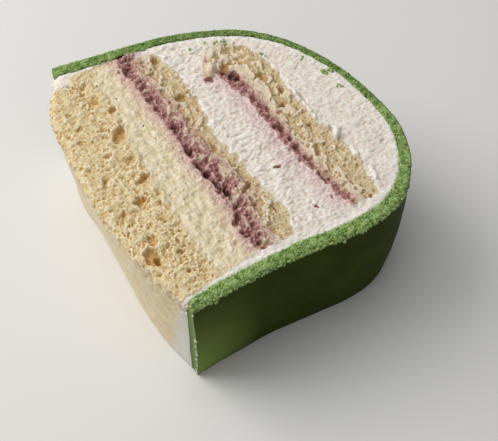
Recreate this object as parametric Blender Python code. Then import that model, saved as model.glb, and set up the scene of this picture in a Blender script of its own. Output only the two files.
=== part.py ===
"""A slice of princess cake, lying on one of its two cut faces.

Two parallel cuts took the slice from a long domed cake, so its section shows the whole build-up: a base of
sponge, custard, jam, sponge, cream, jam and sponge again, then a dome of cream, all wrapped in marzipan.

The section is drawn in millimetres: x runs from the base of the cake (where the marzipan ends, x = 0) to the
crown of its dome, and y across the cake's width. Z is the slice's thickness, from the face that it lies on to
the face that shows. Every piece runs through the whole thickness.
"""

import math

import bmesh
import bpy
from mathutils import Matrix, Vector, noise

MM = 0.001

# The slice as a whole.
THICKNESS = 56.4  # between the two cuts
GAP = 0.3  # clearance between neighbouring pieces
CENTRE_X = 43.5  # the section's point over the origin, within 1 mm of the middle of its box
CENTRE_Y = 0.5

# The marzipan's outer outline, from the base corner on the near side (-Y), over the crown of the dome, to the
# base corner on the far side. The dome leans: steep on the near side, a long shoulder on the far side.
OUTLINE = (
    (0.5, -56.8),
    (12.0, -56.0),
    (30.0, -55.6),
    (46.0, -56.2),
    (60.0, -57.4),
    (72.0, -56.8),
    (82.0, -53.6),
    (90.0, -47.2),
    (96.0, -38.0),
    (99.2, -25.5),
    (98.4, -11.0),
    (95.2, 4.0),
    (89.6, 18.0),
    (81.4, 30.8),
    (70.3, 41.0),
    (57.0, 47.5),
    (43.0, 52.0),
    (25.0, 54.9),
    (10.0, 56.7),
    (0.5, 58.2),
)
# Thickness of the marzipan at fractions of the way along that outline: thinnest where it stretched over the
# dome, thickest where it bunched at the far base edge.
MARZIPAN_FRACTIONS = (0.0, 0.2, 0.36, 0.5, 0.64, 0.8, 0.92, 1.0)
MARZIPAN_THICKNESS = (3.8, 4.1, 4.3, 3.2, 2.9, 3.5, 4.4, 5.0)
MARZIPAN_BULGE = 1.3  # how far its side swells out between the two cuts
MARZIPAN_EDGE_DROP = 0.7  # how far the rim rounds over at its outer edge

# Lines between the layers: x at each station across the width.
STATIONS = (-50.0, -40.0, -30.0, -20.0, -10.0, 0.0, 10.0, 20.0, 30.0, 40.0, 48.0)
BASE_TOP_LINE = (-1.8, -5.2, -8.0, -9.6, -11.0, -11.8, -11.6, -11.2, -11.2, -9.5, -5.2)
BASE_FOOT_LINE = (-3.0, -5.6, -7.0, -7.7, -7.8, -7.8, -8.0, -8.3, -9.4, -8.4, -5.0)
CUSTARD_LINE = (13.4, 12.6, 11.6, 11.3, 11.3, 11.1, 10.0, 11.0, 11.6, 10.6, 10.0)
LOWER_JAM_LINE = (29.4, 27.8, 28.4, 28.0, 26.4, 25.8, 25.6, 24.4, 23.0, 22.3, 21.2)
MIDDLE_SPONGE_LINE = (34.6, 33.6, 35.6, 36.0, 33.5, 31.7, 30.4, 29.8, 28.0, 27.0, 29.0)
MIDDLE_CREAM_LINE = (42.0, 44.1, 43.4, 41.0, 40.4, 38.2, 39.4, 40.0, 39.3, 37.8, 36.0)
UPPER_JAM_LINE = (66.0, 63.3, 61.3, 58.8, 57.7, 56.9, 56.2, 52.8, 51.6, 54.0, 58.0)
TOP_SPONGE_LINE = (68.2, 65.6, 63.2, 61.8, 61.6, 60.8, 59.8, 58.6, 52.4, 54.2, 58.2)
DOME_LINE = (76.4, 77.3, 77.3, 76.4, 74.6, 74.4, 72.8, 72.2, 69.5, 64.0, 60.0)

# The ends of the layers, against the cream that coats the sides: y at each station from base to dome.
END_STATIONS = (-14.0, 0.0, 14.0, 26.0, 38.0, 50.0, 60.0, 69.5, 80.0)
NEAR_END = (-51.8, -52.2, -50.2, -48.4, -48.4, -48.4, -48.5, -48.3, -48.3)
FAR_END = (48.0, 47.4, 46.8, 47.2, 45.8, 43.6, 38.9, 30.0, 12.0)
UPPER_JAM_FAR_END = 27.0
DOME_CORNER = (69.5, 30.0)  # where the ends' far line meets the dome

# Hollows in the face that shows: (x, y, radius, depth).
HOLLOWS = (
    (-3.1, -33.6, 3.8, 5.0),
    (2.9, -11.4, 3.0, 2.8),
    (-0.8, -27.2, 2.6, 2.4),
    (7.7, 18.3, 3.4, 2.4),
    (3.7, 15.5, 3.4, 2.2),
    (33.9, 43.0, 2.2, 3.0),
    (35.0, 21.6, 2.6, 3.4),
    (33.1, 12.1, 2.4, 2.0),
    (26.4, -0.9, 2.2, 2.4),
    (27.6, -9.5, 2.2, 2.4),
    (29.6, -18.6, 2.2, 2.4),
    (27.6, -34.7, 2.0, 2.2),
    (57.4, 28.1, 2.8, 4.6),
    (56.0, 18.5, 2.2, 2.4),
    (66.8, 14.9, 2.2, 2.0),
    (70.2, -11.5, 2.2, 2.2),
    (62.6, -33.4, 2.0, 2.0),
)

CELL = 2.4  # side of a cell on the face that shows
WALL_STOREYS = 12  # cells through the thickness, where a wall has relief
FLAT_ANGLE = math.radians(0.4)  # cells that bend less than this are joined into one face
SHARP_ANGLE = math.radians(50)


class Relief:
    """How far a cut face stands above or below the plane of the cut."""

    def __init__(self, height, width, lift=0.0):
        self.height = height
        self.width = width
        self.lift = lift

    def at(self, x, y, z=0.0):
        return self.lift + self.height * noise.noise(Vector((x, y, z)) / self.width)


CRUMB = Relief(1.5, 4.2, lift=-0.2)
SET_CUSTARD = Relief(0.7, 6.5)
WHIPPED_CREAM = Relief(0.6, 7.5)
JAM = Relief(0.9, 4.5, lift=-0.9)
MARZIPAN = Relief(0.35, 4.0, lift=0.1)


def mix(a, b, share):
    return a + (b - a) * share


def smooth_line(stations, values):
    """A curve through the values at rising stations: cubic between them, straight on past the two ends."""
    last = len(stations) - 1
    slopes = []
    for i in range(last + 1):
        before, after = max(i - 1, 0), min(i + 1, last)
        slopes.append((values[after] - values[before]) / (stations[after] - stations[before]))

    def at(where):
        if where <= stations[0]:
            return values[0] + slopes[0] * (where - stations[0])
        if where >= stations[last]:
            return values[last] + slopes[last] * (where - stations[last])
        i = max(k for k in range(last) if stations[k] <= where)
        span = stations[i + 1] - stations[i]
        u = (where - stations[i]) / span
        start = (2 * u**3 - 3 * u**2 + 1) * values[i] + (u**3 - 2 * u**2 + u) * span * slopes[i]
        end = (3 * u**2 - 2 * u**3) * values[i + 1] + (u**3 - u**2) * span * slopes[i + 1]
        return start + end

    return at


class Path:
    """A smooth curve through points in the section, followed by the fraction of its length."""

    def __init__(self, points):
        reach = [0.0]
        for a, b in zip(points, points[1:]):
            reach.append(reach[-1] + math.dist(a, b))
        self.length = reach[-1]
        self.x = smooth_line(reach, [p[0] for p in points])
        self.y = smooth_line(reach, [p[1] for p in points])

    def at(self, share, inward=0.0):
        """The point at this fraction, moved to the left of the way that the path runs."""
        step = 0.5
        here = share * self.length
        along = Vector((self.x(here + step) - self.x(here - step), self.y(here + step) - self.y(here - step)))
        along.normalize()
        return self.x(here) - along.y * inward, self.y(here) + along.x * inward


outline = Path(OUTLINE)
marzipan_thickness = smooth_line(MARZIPAN_FRACTIONS, MARZIPAN_THICKNESS)
near_end = smooth_line(END_STATIONS, NEAR_END)
far_end = smooth_line(END_STATIONS, FAR_END)
base_foot = smooth_line(STATIONS, BASE_FOOT_LINE)
base_top = smooth_line(STATIONS, BASE_TOP_LINE)
dome_line = smooth_line(STATIONS, DOME_LINE)


def hollow_depth(x, y):
    """How deep the hollows reach below the cut at this point."""
    depth = 0.0
    for centre_x, centre_y, radius, deepest in HOLLOWS:
        away = math.hypot(x - centre_x, y - centre_y) / radius
        if away < 1.0:
            depth = max(depth, deepest * (1.0 - away**2))
    return depth


def cut_height(x, y, relief):
    return THICKNESS + relief.at(x, y) - hollow_depth(x, y)


def unit_block(along, across, storeys):
    """A cube from (0, 0, 0) to (1, 1, 1) whose faces are cut into cells."""
    block = bmesh.new()
    bmesh.ops.create_cube(block, size=1.0, matrix=Matrix.Translation((0.5, 0.5, 0.5)))
    for axis, cells in enumerate((along, across, storeys)):
        normal = Vector((axis == 0, axis == 1, axis == 2))
        for cut in range(1, cells):
            everything = block.verts[:] + block.edges[:] + block.faces[:]
            bmesh.ops.bisect_plane(block, geom=everything, plane_co=normal * cut / cells, plane_no=normal)
    return block


def mould(name, block, place, material, collection):
    """Moves each point of the block to place(along, across, height) and makes it an object."""
    for vert in block.verts:
        x, y, z = place(*vert.co)
        vert.co = Vector((x - CENTRE_X, y - CENTRE_Y, z)) * MM
    block.normal_update()
    bmesh.ops.recalc_face_normals(block, faces=block.faces)
    bmesh.ops.dissolve_limit(block, angle_limit=FLAT_ANGLE, verts=block.verts, edges=block.edges)
    mesh = bpy.data.meshes.new(name)
    block.to_mesh(mesh)
    block.free()
    mesh.shade_smooth()
    mesh.set_sharp_from_angle(angle=SHARP_ANGLE)
    mesh.materials.append(material)
    collection.objects.link(bpy.data.objects.new(name, mesh))


def layer(left, right, relief, far=far_end):
    """Places a layer that lies between two lines and runs from the near end to the far end."""

    def place(along, across, height):
        y = mix(NEAR_END[0], FAR_END[0], along)
        for _ in range(8):
            x = mix(left(y) + GAP / 2, right(y) - GAP / 2, across)
            y = mix(near_end(x), far(x), along)
        z = cut_height(x, y, relief) if height == 1.0 else height * THICKNESS
        return x, y, z

    return place


def base_sponge_place(along, across, height):
    """The base layer: its outer face bulges, leans in towards its foot and is rough with crumb."""

    def outer(y):
        return mix(base_foot(y), base_top(y), height)

    right = smooth_line(STATIONS, CUSTARD_LINE)
    x, y, z = layer(outer, right, CRUMB)(along, across, height)
    if across == 0.0 and height > 0.0:
        x += CRUMB.at(x, y, z)
    return x, y, z


def marzipan_place(along, across, height):
    """The marzipan: a band inside the outline whose side swells and whose outer edge is rounded over."""
    inward = marzipan_thickness(along) * across
    if across == 0.0:
        inward -= MARZIPAN_BULGE * math.sin(math.pi * height)
    x, y = outline.at(along, inward)
    z = THICKNESS * height
    if height == 1.0:
        z += MARZIPAN.at(x, y) - (MARZIPAN_EDGE_DROP if across == 0.0 else 0.0)
    return x, y, z


def core_outline():
    """The layers' own outline, as three runs that meet at two corners: near end, dome, far end."""
    first_x = 0.4
    corner_y = near_end(DOME_LINE[0])
    corner_x = dome_line(corner_y)
    near = Path([(x, near_end(x)) for x in (mix(first_x, corner_x, i / 8) for i in range(9))])
    dome = Path([(dome_line(y), y) for y in (mix(corner_y, DOME_CORNER[1], i / 10) for i in range(11))])
    far = Path([(x, far_end(x)) for x in (mix(DOME_CORNER[0], first_x, i / 10) for i in range(11))])
    return near, dome, far


CORE_RUNS = core_outline()
# Where the two corners of the core come along the band of cream, and along the outline of the marzipan.
CORE_SHARES = (0.0, 0.30, 0.67, 1.0)
OUTLINE_SHARES = (0.0, 0.262, 0.655, 1.0)


def cream_coat_place(along, across, height):
    """The cream between the layers and the marzipan: a thin coat on both sides and a deep dome."""
    run = 0 if along < CORE_SHARES[1] else 1 if along < CORE_SHARES[2] else 2
    share = (along - CORE_SHARES[run]) / (CORE_SHARES[run + 1] - CORE_SHARES[run])
    inner_x, inner_y = CORE_RUNS[run].at(share, -GAP)
    outline_share = mix(OUTLINE_SHARES[run], OUTLINE_SHARES[run + 1], share)
    outer_x, outer_y = outline.at(outline_share, marzipan_thickness(outline_share) + GAP)
    x = mix(inner_x, outer_x, across)
    y = mix(inner_y, outer_y, across)
    z = cut_height(x, y, WHIPPED_CREAM) if height == 1.0 else THICKNESS * height
    return x, y, z


def finish(name, srgb, roughness, subsurface=0.0):
    """A Principled material from a colour in 0 to 255 sRGB."""

    def linear(level):
        level /= 255
        return level / 12.92 if level <= 0.04045 else ((level + 0.055) / 1.055) ** 2.4

    material = bpy.data.materials.new(name)
    material.use_nodes = True
    shader = material.node_tree.nodes["Principled BSDF"]
    shader.inputs["Base Color"].default_value = (*map(linear, srgb), 1.0)
    shader.inputs["Roughness"].default_value = roughness
    shader.inputs["Metallic"].default_value = 0.0
    shader.inputs["Subsurface Weight"].default_value = subsurface
    return material


def main():
    for item in list(bpy.data.objects):
        bpy.data.objects.remove(item, do_unlink=True)
    cake = bpy.data.collections.new("princess_cake")
    bpy.context.scene.collection.children.link(cake)

    sponge = finish("sponge", (214, 190, 146), 0.9, 0.1)
    custard = finish("custard", (222, 206, 166), 0.6, 0.2)
    cream = finish("cream", (226, 216, 203), 0.55, 0.2)
    jam = finish("jam", (150, 100, 98), 0.4)
    marzipan = finish("marzipan", (120, 146, 84), 0.5, 0.1)

    cells_along = round((FAR_END[0] - NEAR_END[0]) / CELL)
    lines = {
        "custard": (CUSTARD_LINE, LOWER_JAM_LINE, SET_CUSTARD, custard),
        "jam_lower": (LOWER_JAM_LINE, MIDDLE_SPONGE_LINE, JAM, jam),
        "middle_sponge": (MIDDLE_SPONGE_LINE, MIDDLE_CREAM_LINE, CRUMB, sponge),
        "middle_cream": (MIDDLE_CREAM_LINE, UPPER_JAM_LINE, WHIPPED_CREAM, cream),
        "jam_upper": (UPPER_JAM_LINE, TOP_SPONGE_LINE, JAM, jam),
        "top_sponge": (TOP_SPONGE_LINE, DOME_LINE, CRUMB, sponge),
    }
    base_depth = CUSTARD_LINE[5] - BASE_TOP_LINE[5]
    block = unit_block(cells_along, round(base_depth / CELL), WALL_STOREYS)
    mould("base_sponge", block, base_sponge_place, sponge, cake)
    for name, (left, right, relief, material) in lines.items():
        across = max(2, round((right[4] - left[4]) / CELL))
        far = (lambda x: UPPER_JAM_FAR_END) if name == "jam_upper" else far_end
        place = layer(smooth_line(STATIONS, left), smooth_line(STATIONS, right), relief, far)
        mould(name, unit_block(cells_along, across, 1), place, material, cake)
    mould("cream_coat", unit_block(110, 6, 1), cream_coat_place, cream, cake)
    mould("marzipan", unit_block(110, 2, 5), marzipan_place, marzipan, cake)


main()
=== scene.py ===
"""Looks of a slice of princess cake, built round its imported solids.

The slice lies on one cut face. Its section is drawn in millimetres, as its solids are: x from the
base of the cake to the crown of its dome, y across its width. Everything inside the marzipan is
one fine grid of points over the section, which is shared out among the layers, so their torn edges
fit each other exactly.
"""
import logging
import math
from collections.abc import Iterator
from dataclasses import astuple, dataclass, replace
from enum import Enum
from functools import cache, cached_property

import bmesh
import bpy
import numpy as np
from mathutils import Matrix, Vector


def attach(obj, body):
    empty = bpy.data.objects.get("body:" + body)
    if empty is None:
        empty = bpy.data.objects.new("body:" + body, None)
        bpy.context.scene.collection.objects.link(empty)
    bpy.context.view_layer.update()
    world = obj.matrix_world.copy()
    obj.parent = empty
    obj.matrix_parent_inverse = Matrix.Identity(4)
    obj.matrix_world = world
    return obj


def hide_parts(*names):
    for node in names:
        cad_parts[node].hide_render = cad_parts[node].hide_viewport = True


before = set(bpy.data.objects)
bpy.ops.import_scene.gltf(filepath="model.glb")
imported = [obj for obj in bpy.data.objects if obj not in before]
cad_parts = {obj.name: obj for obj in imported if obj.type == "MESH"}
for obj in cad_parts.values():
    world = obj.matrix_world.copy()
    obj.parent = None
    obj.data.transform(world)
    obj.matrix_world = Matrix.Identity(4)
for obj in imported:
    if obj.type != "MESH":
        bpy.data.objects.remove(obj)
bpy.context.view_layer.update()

log = logging.getLogger("princess_cake")
MM = 0.001
Array = np.ndarray
Colour = tuple[float, float, float, float]
Triple = tuple[float, float, float]
# What a node's input takes: a value, or another node's output.
Feed = float | Colour | bpy.types.NodeSocket

# A hash of 32 bits: factors for the seed and for each axis, and shifts and factors to stir it.
WORD = 2**32
SEED_FACTOR = 974_634_777
AXIS_FACTORS = (374_761_393, 668_265_263, 2_246_822_519)
STIRS = ((15, 2_246_822_507), (13, 3_266_489_909))
LAST_SHIFT = 16


class Slot(Enum):
    """The record's material slots."""

    MARZIPAN = "marzipan"
    CREAM = "cream"
    SPONGE = "sponge"
    CUSTARD = "custard"
    JAM = "jam"


class Layer(Enum):
    """The layers inside the marzipan, in order from the base, by the names of their nodes."""

    BASE_SPONGE = "base_sponge"
    CUSTARD = "custard"
    JAM_LOWER = "jam_lower"
    MIDDLE_SPONGE = "middle_sponge"
    MIDDLE_CREAM = "middle_cream"
    JAM_UPPER = "jam_upper"
    TOP_SPONGE = "top_sponge"
    CREAM_COAT = "cream_coat"

    @property
    def rank(self) -> int:
        """The layer's place in the order, counted from 0."""
        return list(Layer).index(self)


def ramp(value: Array | float, start: float, end: float) -> Array:
    """How far each value has come from the start to the end, held between 0 and 1."""
    return np.clip((value - start) / (end - start), 0, 1)


@dataclass(frozen=True)
class Noise:
    """Repeatable noise over points, with its own seed."""

    seed: int

    def chance(self, *cells: Array) -> Array:
        """A random number from 0 to 1 for each lattice cell.

        Args:
            cells: whole-number coordinates of the cells, one array for each axis.

        Returns:
            One number for each cell.
        """
        mask = np.uint64(WORD - 1)
        mixed = np.full(np.shape(cells[0]), self.seed * SEED_FACTOR % WORD, np.uint64)
        for cell, factor in zip(cells, AXIS_FACTORS):
            mixed = (mixed ^ (cell.astype(np.int64).astype(np.uint64) * np.uint64(factor))) & mask
            for shift, stir in STIRS:
                mixed = (mixed ^ (mixed >> np.uint64(shift))) * np.uint64(stir) & mask
        return (mixed ^ (mixed >> np.uint64(LAST_SHIFT))).astype(float) / WORD

    def smooth(self, x: Array, y: Array, width: float) -> Array:
        """Gradient noise, from about -1 to 1.

        Args:
            x: first coordinate of each point.
            y: second coordinate of each point.
            width: size of a lump, in the points' units.

        Returns:
            The noise at each point.
        """
        gain = 1.5
        x, y = x / width, y / width
        left, low = np.floor(x), np.floor(y)
        u, v = x - left, y - low
        fade_u, fade_v = (w**3 * (w * (6 * w - 15) + 10) for w in (u, v))
        total = np.zeros(np.shape(x))
        for step_x, share_x in ((0, 1 - fade_u), (1, fade_u)):
            for step_y, share_y in ((0, 1 - fade_v), (1, fade_v)):
                turn = self.chance(left + step_x, low + step_y) * 2 * math.pi
                slope = np.cos(turn) * (u - step_x) + np.sin(turn) * (v - step_y)
                total += share_x * share_y * slope
        return total * gain

    def layered(self, x: Array, y: Array, width: float, octaves: int = 3) -> Array:
        """Gradient noise of several sizes, each half as wide and as strong as the one before.

        Args:
            x: first coordinate of each point.
            y: second coordinate of each point.
            width: size of the widest lumps, in the points' units.
            octaves: how many sizes there are.

        Returns:
            The noise at each point.
        """
        total = np.zeros(np.shape(x))
        for octave in range(octaves):
            total += Noise(self.seed + octave).smooth(x, y, width / 2**octave) / 2**octave
        return total

    def cells(self, x: Array, y: Array, size: float) -> "Cells":
        """Shares the points out among scattered cell centres.

        Args:
            x: first coordinate of each point.
            y: second coordinate of each point.
            size: distance between cell centres, in the points' units.

        Returns:
            What each point knows of its cell.
        """
        # A centre keeps this far from its cell's sides, as a share of the cell.
        margin, spread = 0.1, 0.8
        x, y = x / size, y / size
        column, row = np.floor(x), np.floor(y)
        near = np.full(np.shape(x), 9.0)
        next_near = near.copy()
        luck = np.zeros_like(near)
        for step_x in (-1, 0, 1):
            for step_y in (-1, 0, 1):
                cell = column + step_x, row + step_y
                dx = x - cell[0] - margin - spread * self.chance(*cell)
                dy = y - cell[1] - margin - spread * Noise(self.seed + 1).chance(*cell)
                gap = np.hypot(dx, dy)
                closer = gap < near
                next_near = np.where(closer, near, np.minimum(next_near, gap))
                near = np.where(closer, gap, near)
                luck = np.where(closer, Noise(self.seed + 2).chance(*cell), luck)
        return Cells(near, next_near, luck)


@dataclass(frozen=True)
class Cells:
    """For each point: distances to the two nearest cell centres, and the nearest cell's luck."""

    near: Array
    next_near: Array
    luck: Array

    def bowls(self, radius: float) -> Array:
        """1 at each cell's centre, falling to 0 at this radius."""
        return np.clip(1 - (self.near / radius) ** 2, 0, 1)

    def grains(self, low: float) -> Array:
        """Domes that stand apart.

        Args:
            low: the height of those with the least luck.

        Returns:
            The domes' height, up to 1.
        """
        groove = 0.65
        apart = np.clip((self.next_near - self.near) * 2.2, 0, 1)
        tall = low + (1 - low) * self.luck
        return np.sqrt(self.bowls(1.0)) * (1 - groove * (1 - apart)) * tall


@dataclass(frozen=True)
class Wave:
    """One term of a relief: gradient noise with its own seed, width, height and octaves."""

    seed: int
    width: float
    height: float
    octaves: int = 3

    def at(self, x: Array, y: Array) -> Array:
        """The term at each point."""
        return self.height * Noise(self.seed).layered(x, y, self.width, self.octaves)


def heaped(x: Array, y: Array, *waves: Wave) -> Array:
    """Several terms of a relief, added up at each point."""
    return sum(wave.at(x, y) for wave in waves)


@dataclass(frozen=True)
class Curve:
    """A smooth curve through values at rising stations, straight on past its two ends."""

    stations: tuple[float, ...]
    values: tuple[float, ...]

    def at(self, where: Array) -> Array:
        """The curve's value at each place.

        Args:
            where: places along the stations.

        Returns:
            One value for each place.
        """
        s, v = np.array(self.stations), np.array(self.values)
        rise = np.gradient(v, s, edge_order=1)
        rise[1:-1] = (v[2:] - v[:-2]) / (s[2:] - s[:-2])
        i = np.clip(np.searchsorted(s, where, side="right") - 1, 0, len(s) - 2)
        span = s[i + 1] - s[i]
        raw = (where - s[i]) / span
        u = np.clip(raw, 0, 1)
        inside = (
            (2 * u**3 - 3 * u**2 + 1) * v[i]
            + (u**3 - 2 * u**2 + u) * span * rise[i]
            + (3 * u**2 - 2 * u**3) * v[i + 1]
            + (u**3 - u**2) * span * rise[i + 1]
        )
        before = np.where(raw < 0, raw * span * rise[i], 0)
        return inside + before + np.where(raw > 1, (raw - 1) * span * rise[i + 1], 0)


@dataclass(frozen=True)
class Hollow:
    """An oval hollow in the cut face, in section millimetres, or a hump with a depth below 0."""

    x: float
    y: float
    long: float
    wide: float
    turn: float
    depth: float = 0.0
    # How far it takes on the food's hole colour, where that isn't by its depth.
    tint: float | None = None

    def reach(self, x: Array, y: Array) -> Array:
        """How near each point is to the middle of the hollow.

        Args:
            x: x of each point.
            y: y of each point.

        Returns:
            1 at the middle, falling to 0 at the rim.
        """
        across, up = x - self.x, y - self.y
        cos, sin = math.cos(math.radians(self.turn)), math.sin(math.radians(self.turn))
        along_share = (across * cos + up * sin) / self.long
        away = np.hypot(along_share, (up * cos - across * sin) / self.wide)
        return np.clip(1 - away**2, 0, 1)

    def tinted(self) -> float:
        """How far it takes on the hole colour, from 0 to 1."""
        deep = 2.4
        return min(max(self.depth / deep if self.tint is None else self.tint, 0), 1)


@dataclass(frozen=True)
class Section:
    """The drawing of the slice's section, the same as in its solids, in millimetres."""

    thickness: float = 56.4
    centre_x: float = 44.2
    centre_y: float = 0.4
    stations: tuple[float, ...] = (-50, -40, -30, -20, -10, 0, 10, 20, 30, 40, 48)
    base_top: tuple[float, ...] = (
        -1.8, -5.2, -8.0, -9.6, -11.0, -11.8, -11.6, -11.2, -11.2, -9.5, -5.2,
    )
    base_foot: tuple[float, ...] = (
        -3.0, -5.6, -7.0, -7.7, -7.8, -7.8, -8.0, -8.3, -9.4, -8.4, -5.0,
    )
    # The line at which each layer after the first starts.
    starts: tuple[tuple[float, ...], ...] = (
        (13.4, 12.6, 11.6, 11.3, 11.3, 11.1, 10.0, 11.0, 11.6, 10.6, 10.0),
        (29.4, 27.8, 28.4, 28.0, 26.4, 25.8, 25.6, 24.4, 23.0, 22.3, 21.2),
        (34.6, 33.6, 35.6, 36.0, 33.5, 31.7, 30.4, 29.8, 28.0, 27.0, 29.0),
        (42.0, 44.1, 43.4, 41.0, 40.4, 38.2, 39.4, 40.0, 39.3, 37.8, 36.0),
        (66.0, 63.3, 61.3, 58.8, 57.7, 56.9, 56.2, 52.8, 51.6, 54.0, 58.0),
        (68.2, 65.6, 63.2, 61.8, 61.6, 60.8, 59.8, 58.6, 52.4, 54.2, 58.2),
        (76.4, 77.3, 77.3, 76.4, 74.6, 74.4, 72.8, 72.2, 69.5, 64.0, 60.0),
    )
    end_stations: tuple[float, ...] = (-14, 0, 14, 26, 38, 50, 60, 69.5, 80)
    near_end: tuple[float, ...] = (-51.8, -52.2, -50.2, -48.4, -48.4, -48.4, -48.5, -48.3, -48.3)
    far_end: tuple[float, ...] = (47.2, 47.4, 47.6, 47.2, 45.8, 43.6, 38.9, 30.0, 12.0)
    far_end_reach: float = 76.0
    upper_jam_end: float = 27.0
    # How far each of those lines is torn, and how wide the lumps are.
    tears: tuple[tuple[float, float], ...] = (
        (1.3, 4.0), (0.8, 2.6), (1.8, 2.8), (1.6, 3.6), (0.9, 2.6), (1.4, 2.8), (1.2, 4.2),
    )
    end_tears: tuple[tuple[float, float], ...] = ((0.5, 3.0), (0.9, 3.0))
    outline: tuple[tuple[float, float], ...] = (
        (0.5, -56.8), (12.0, -56.0), (30.0, -55.6), (46.0, -56.2), (60.0, -57.4),
        (72.0, -56.8), (82.0, -53.6), (90.0, -47.2), (96.0, -38.0), (99.2, -25.5),
        (98.4, -11.0), (95.2, 4.0), (89.6, 18.0), (81.4, 30.8), (70.3, 41.0),
        (57.0, 47.5), (43.0, 52.0), (25.0, 54.9), (10.0, 56.7), (0.5, 58.2),
    )
    marzipan_fractions: tuple[float, ...] = (0.0, 0.2, 0.36, 0.5, 0.64, 0.8, 0.92, 1.0)
    marzipan_thickness: tuple[float, ...] = (3.8, 4.1, 4.3, 3.2, 2.9, 3.5, 4.4, 5.0)

    def line(self, start: int, y: Array) -> Array:
        """x of one of the lines at which a layer starts, at each y."""
        return Curve(self.stations, self.starts[start]).at(y)

    def end(self, values: tuple[float, ...], x: Array) -> Array:
        """y of the near or the far end of the layers, at each x."""
        return Curve(self.end_stations, values).at(x)

    def base_edge(self, y: Array, height: Array | float) -> Array:
        """x of the base sponge's outer face, at this share of the slice's thickness."""
        foot, top = (Curve(self.stations, v).at(y) for v in (self.base_foot, self.base_top))
        return foot + (top - foot) * height

    def to_world(self, x: Array, y: Array, z: Array | float) -> Array:
        """Section millimetres as an array of points in metres."""
        centred = np.broadcast_arrays(x - self.centre_x, y - self.centre_y, z)
        return np.stack(centred, axis=-1) * MM


@dataclass(frozen=True)
class Outline:
    """The marzipan's outer outline, from the near base corner over the dome to the far one."""

    section: Section

    @cached_property
    def _reach(self) -> Array:
        """The way along the outline at each of its points."""
        return np.concatenate([[0], np.cumsum(np.hypot(*np.diff(self.section.outline, axis=0).T))])

    @property
    def length(self) -> float:
        """The outline's whole length."""
        return float(self._reach[-1])

    def _coordinate(self, axis: int, way: Array) -> Array:
        """x or y of the outline at each way along it."""
        return Curve(tuple(self._reach), tuple(np.array(self.section.outline)[:, axis])).at(way)

    def thickness(self, share: Array) -> Array:
        """Thickness of the marzipan at each share of the way."""
        return Curve(self.section.marzipan_fractions, self.section.marzipan_thickness).at(share)

    def at(self, share: Array, inward: Array | float) -> tuple[Array, Array]:
        """The points at each share of the way, moved in from the outline.

        Args:
            share: fractions of the outline's length.
            inward: how far in each point lies, in millimetres.

        Returns:
            x and y of the points.
        """
        here, step = share * self.length, 0.5
        along_x, along_y = (
            self._coordinate(axis, here + step) - self._coordinate(axis, here - step)
            for axis in (0, 1)
        )
        size = np.hypot(along_x, along_y)
        x, y = (self._coordinate(axis, here) for axis in (0, 1))
        return x - along_y / size * inward, y + along_x / size * inward

    def holds(self, x: Array, y: Array, share_in: float) -> Array:
        """Whether each point lies inside the outline shrunk by a share of the marzipan.

        Args:
            x: x of each point.
            y: y of each point.
            share_in: 0 for the outer outline, 1 for the inner one.

        Returns:
            True where the point lies inside.
        """
        ring_points, beyond_base = 400, -30
        share = np.linspace(0, 1, ring_points)
        ring_x, ring_y = self.at(share, self.thickness(share) * share_in)
        ring_x = np.concatenate([[beyond_base], ring_x, [beyond_base]])
        ring_y = np.concatenate([[ring_y[0]], ring_y, [ring_y[-1]]])
        inside = np.zeros(x.shape, bool)
        for ax, ay, bx, by in zip(ring_x, ring_y, np.roll(ring_x, -1), np.roll(ring_y, -1)):
            if ay != by:
                left = x < ax + (bx - ax) * (y - ay) / (by - ay)
                inside ^= ((ay > y) != (by > y)) & left
        return inside


def mesh_of_faces(
    name: str, points: Array, faces: Array, smooth: Array, fields: dict[str, Array]
) -> bpy.types.Object:
    """Makes an object of faces with equal numbers of corners, leaving out unused points.

    Args:
        name: the object's name.
        points: all points, in metres.
        faces: the indices of each face's corners.
        smooth: whether each face is shaded smooth.
        fields: numbers at every point, by the name that the materials read.

    Returns:
        The new object, linked to the scene.
    """
    used, corners = np.unique(faces, return_inverse=True)
    corners = corners.reshape(-1)
    mesh = bpy.data.meshes.new(name)
    mesh.vertices.add(len(used))
    mesh.vertices.foreach_set("co", points[used].astype(np.float32).ravel())
    mesh.loops.add(len(corners))
    mesh.loops.foreach_set("vertex_index", corners.astype(np.int32))
    mesh.polygons.add(len(faces))
    loop_starts = np.arange(0, len(corners), faces.shape[1], dtype=np.int32)
    mesh.polygons.foreach_set("loop_start", loop_starts)
    mesh.update(calc_edges=True)
    mesh.polygons.foreach_set("use_smooth", smooth)
    for field, values in fields.items():
        attribute = mesh.attributes.new(field, "FLOAT", "POINT")
        attribute.data.foreach_set("value", values[used].astype(np.float32))
    mesh.validate()
    piece = bpy.data.objects.new(name, mesh)
    bpy.context.scene.collection.objects.link(piece)
    return piece


def shifted(
    x: Array, y: Array, seed: int, width: float, far: float, octaves: int
) -> tuple[Array, Array]:
    """Pushes points about by noise, so that what is laid over them bends.

    Args:
        x: x of each point.
        y: y of each point.
        seed: seed of the shift in x, and two less than that of the shift in y.
        width: size of the widest bends.
        far: how far the noise pushes at its strongest, or about that.
        octaves: how many sizes of bend there are.

    Returns:
        x and y of the shifted points.
    """
    push_x, push_y = (Wave(seed + more, width, far, octaves) for more in (0, 2))
    return x + push_x.at(x, y), y + push_y.at(x, y)


@dataclass(frozen=True)
class Bubbles:
    """Open bubbles of one size in sponge, each as deep as its luck has it."""

    seed: int
    spacing: float
    radius: float
    depth: float
    # Luck up to the first leaves no bubble, and from the second on a whole one.
    luck: tuple[float, float] = (0.0, 1.0)
    power: float = 1.0

    def at(self, x: Array, y: Array) -> Array:
        """How deep the bubbles are at each point."""
        cells = Noise(self.seed).cells(x, y, self.spacing)
        return self.depth * cells.bowls(self.radius) * ramp(cells.luck, *self.luck) ** self.power


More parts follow.
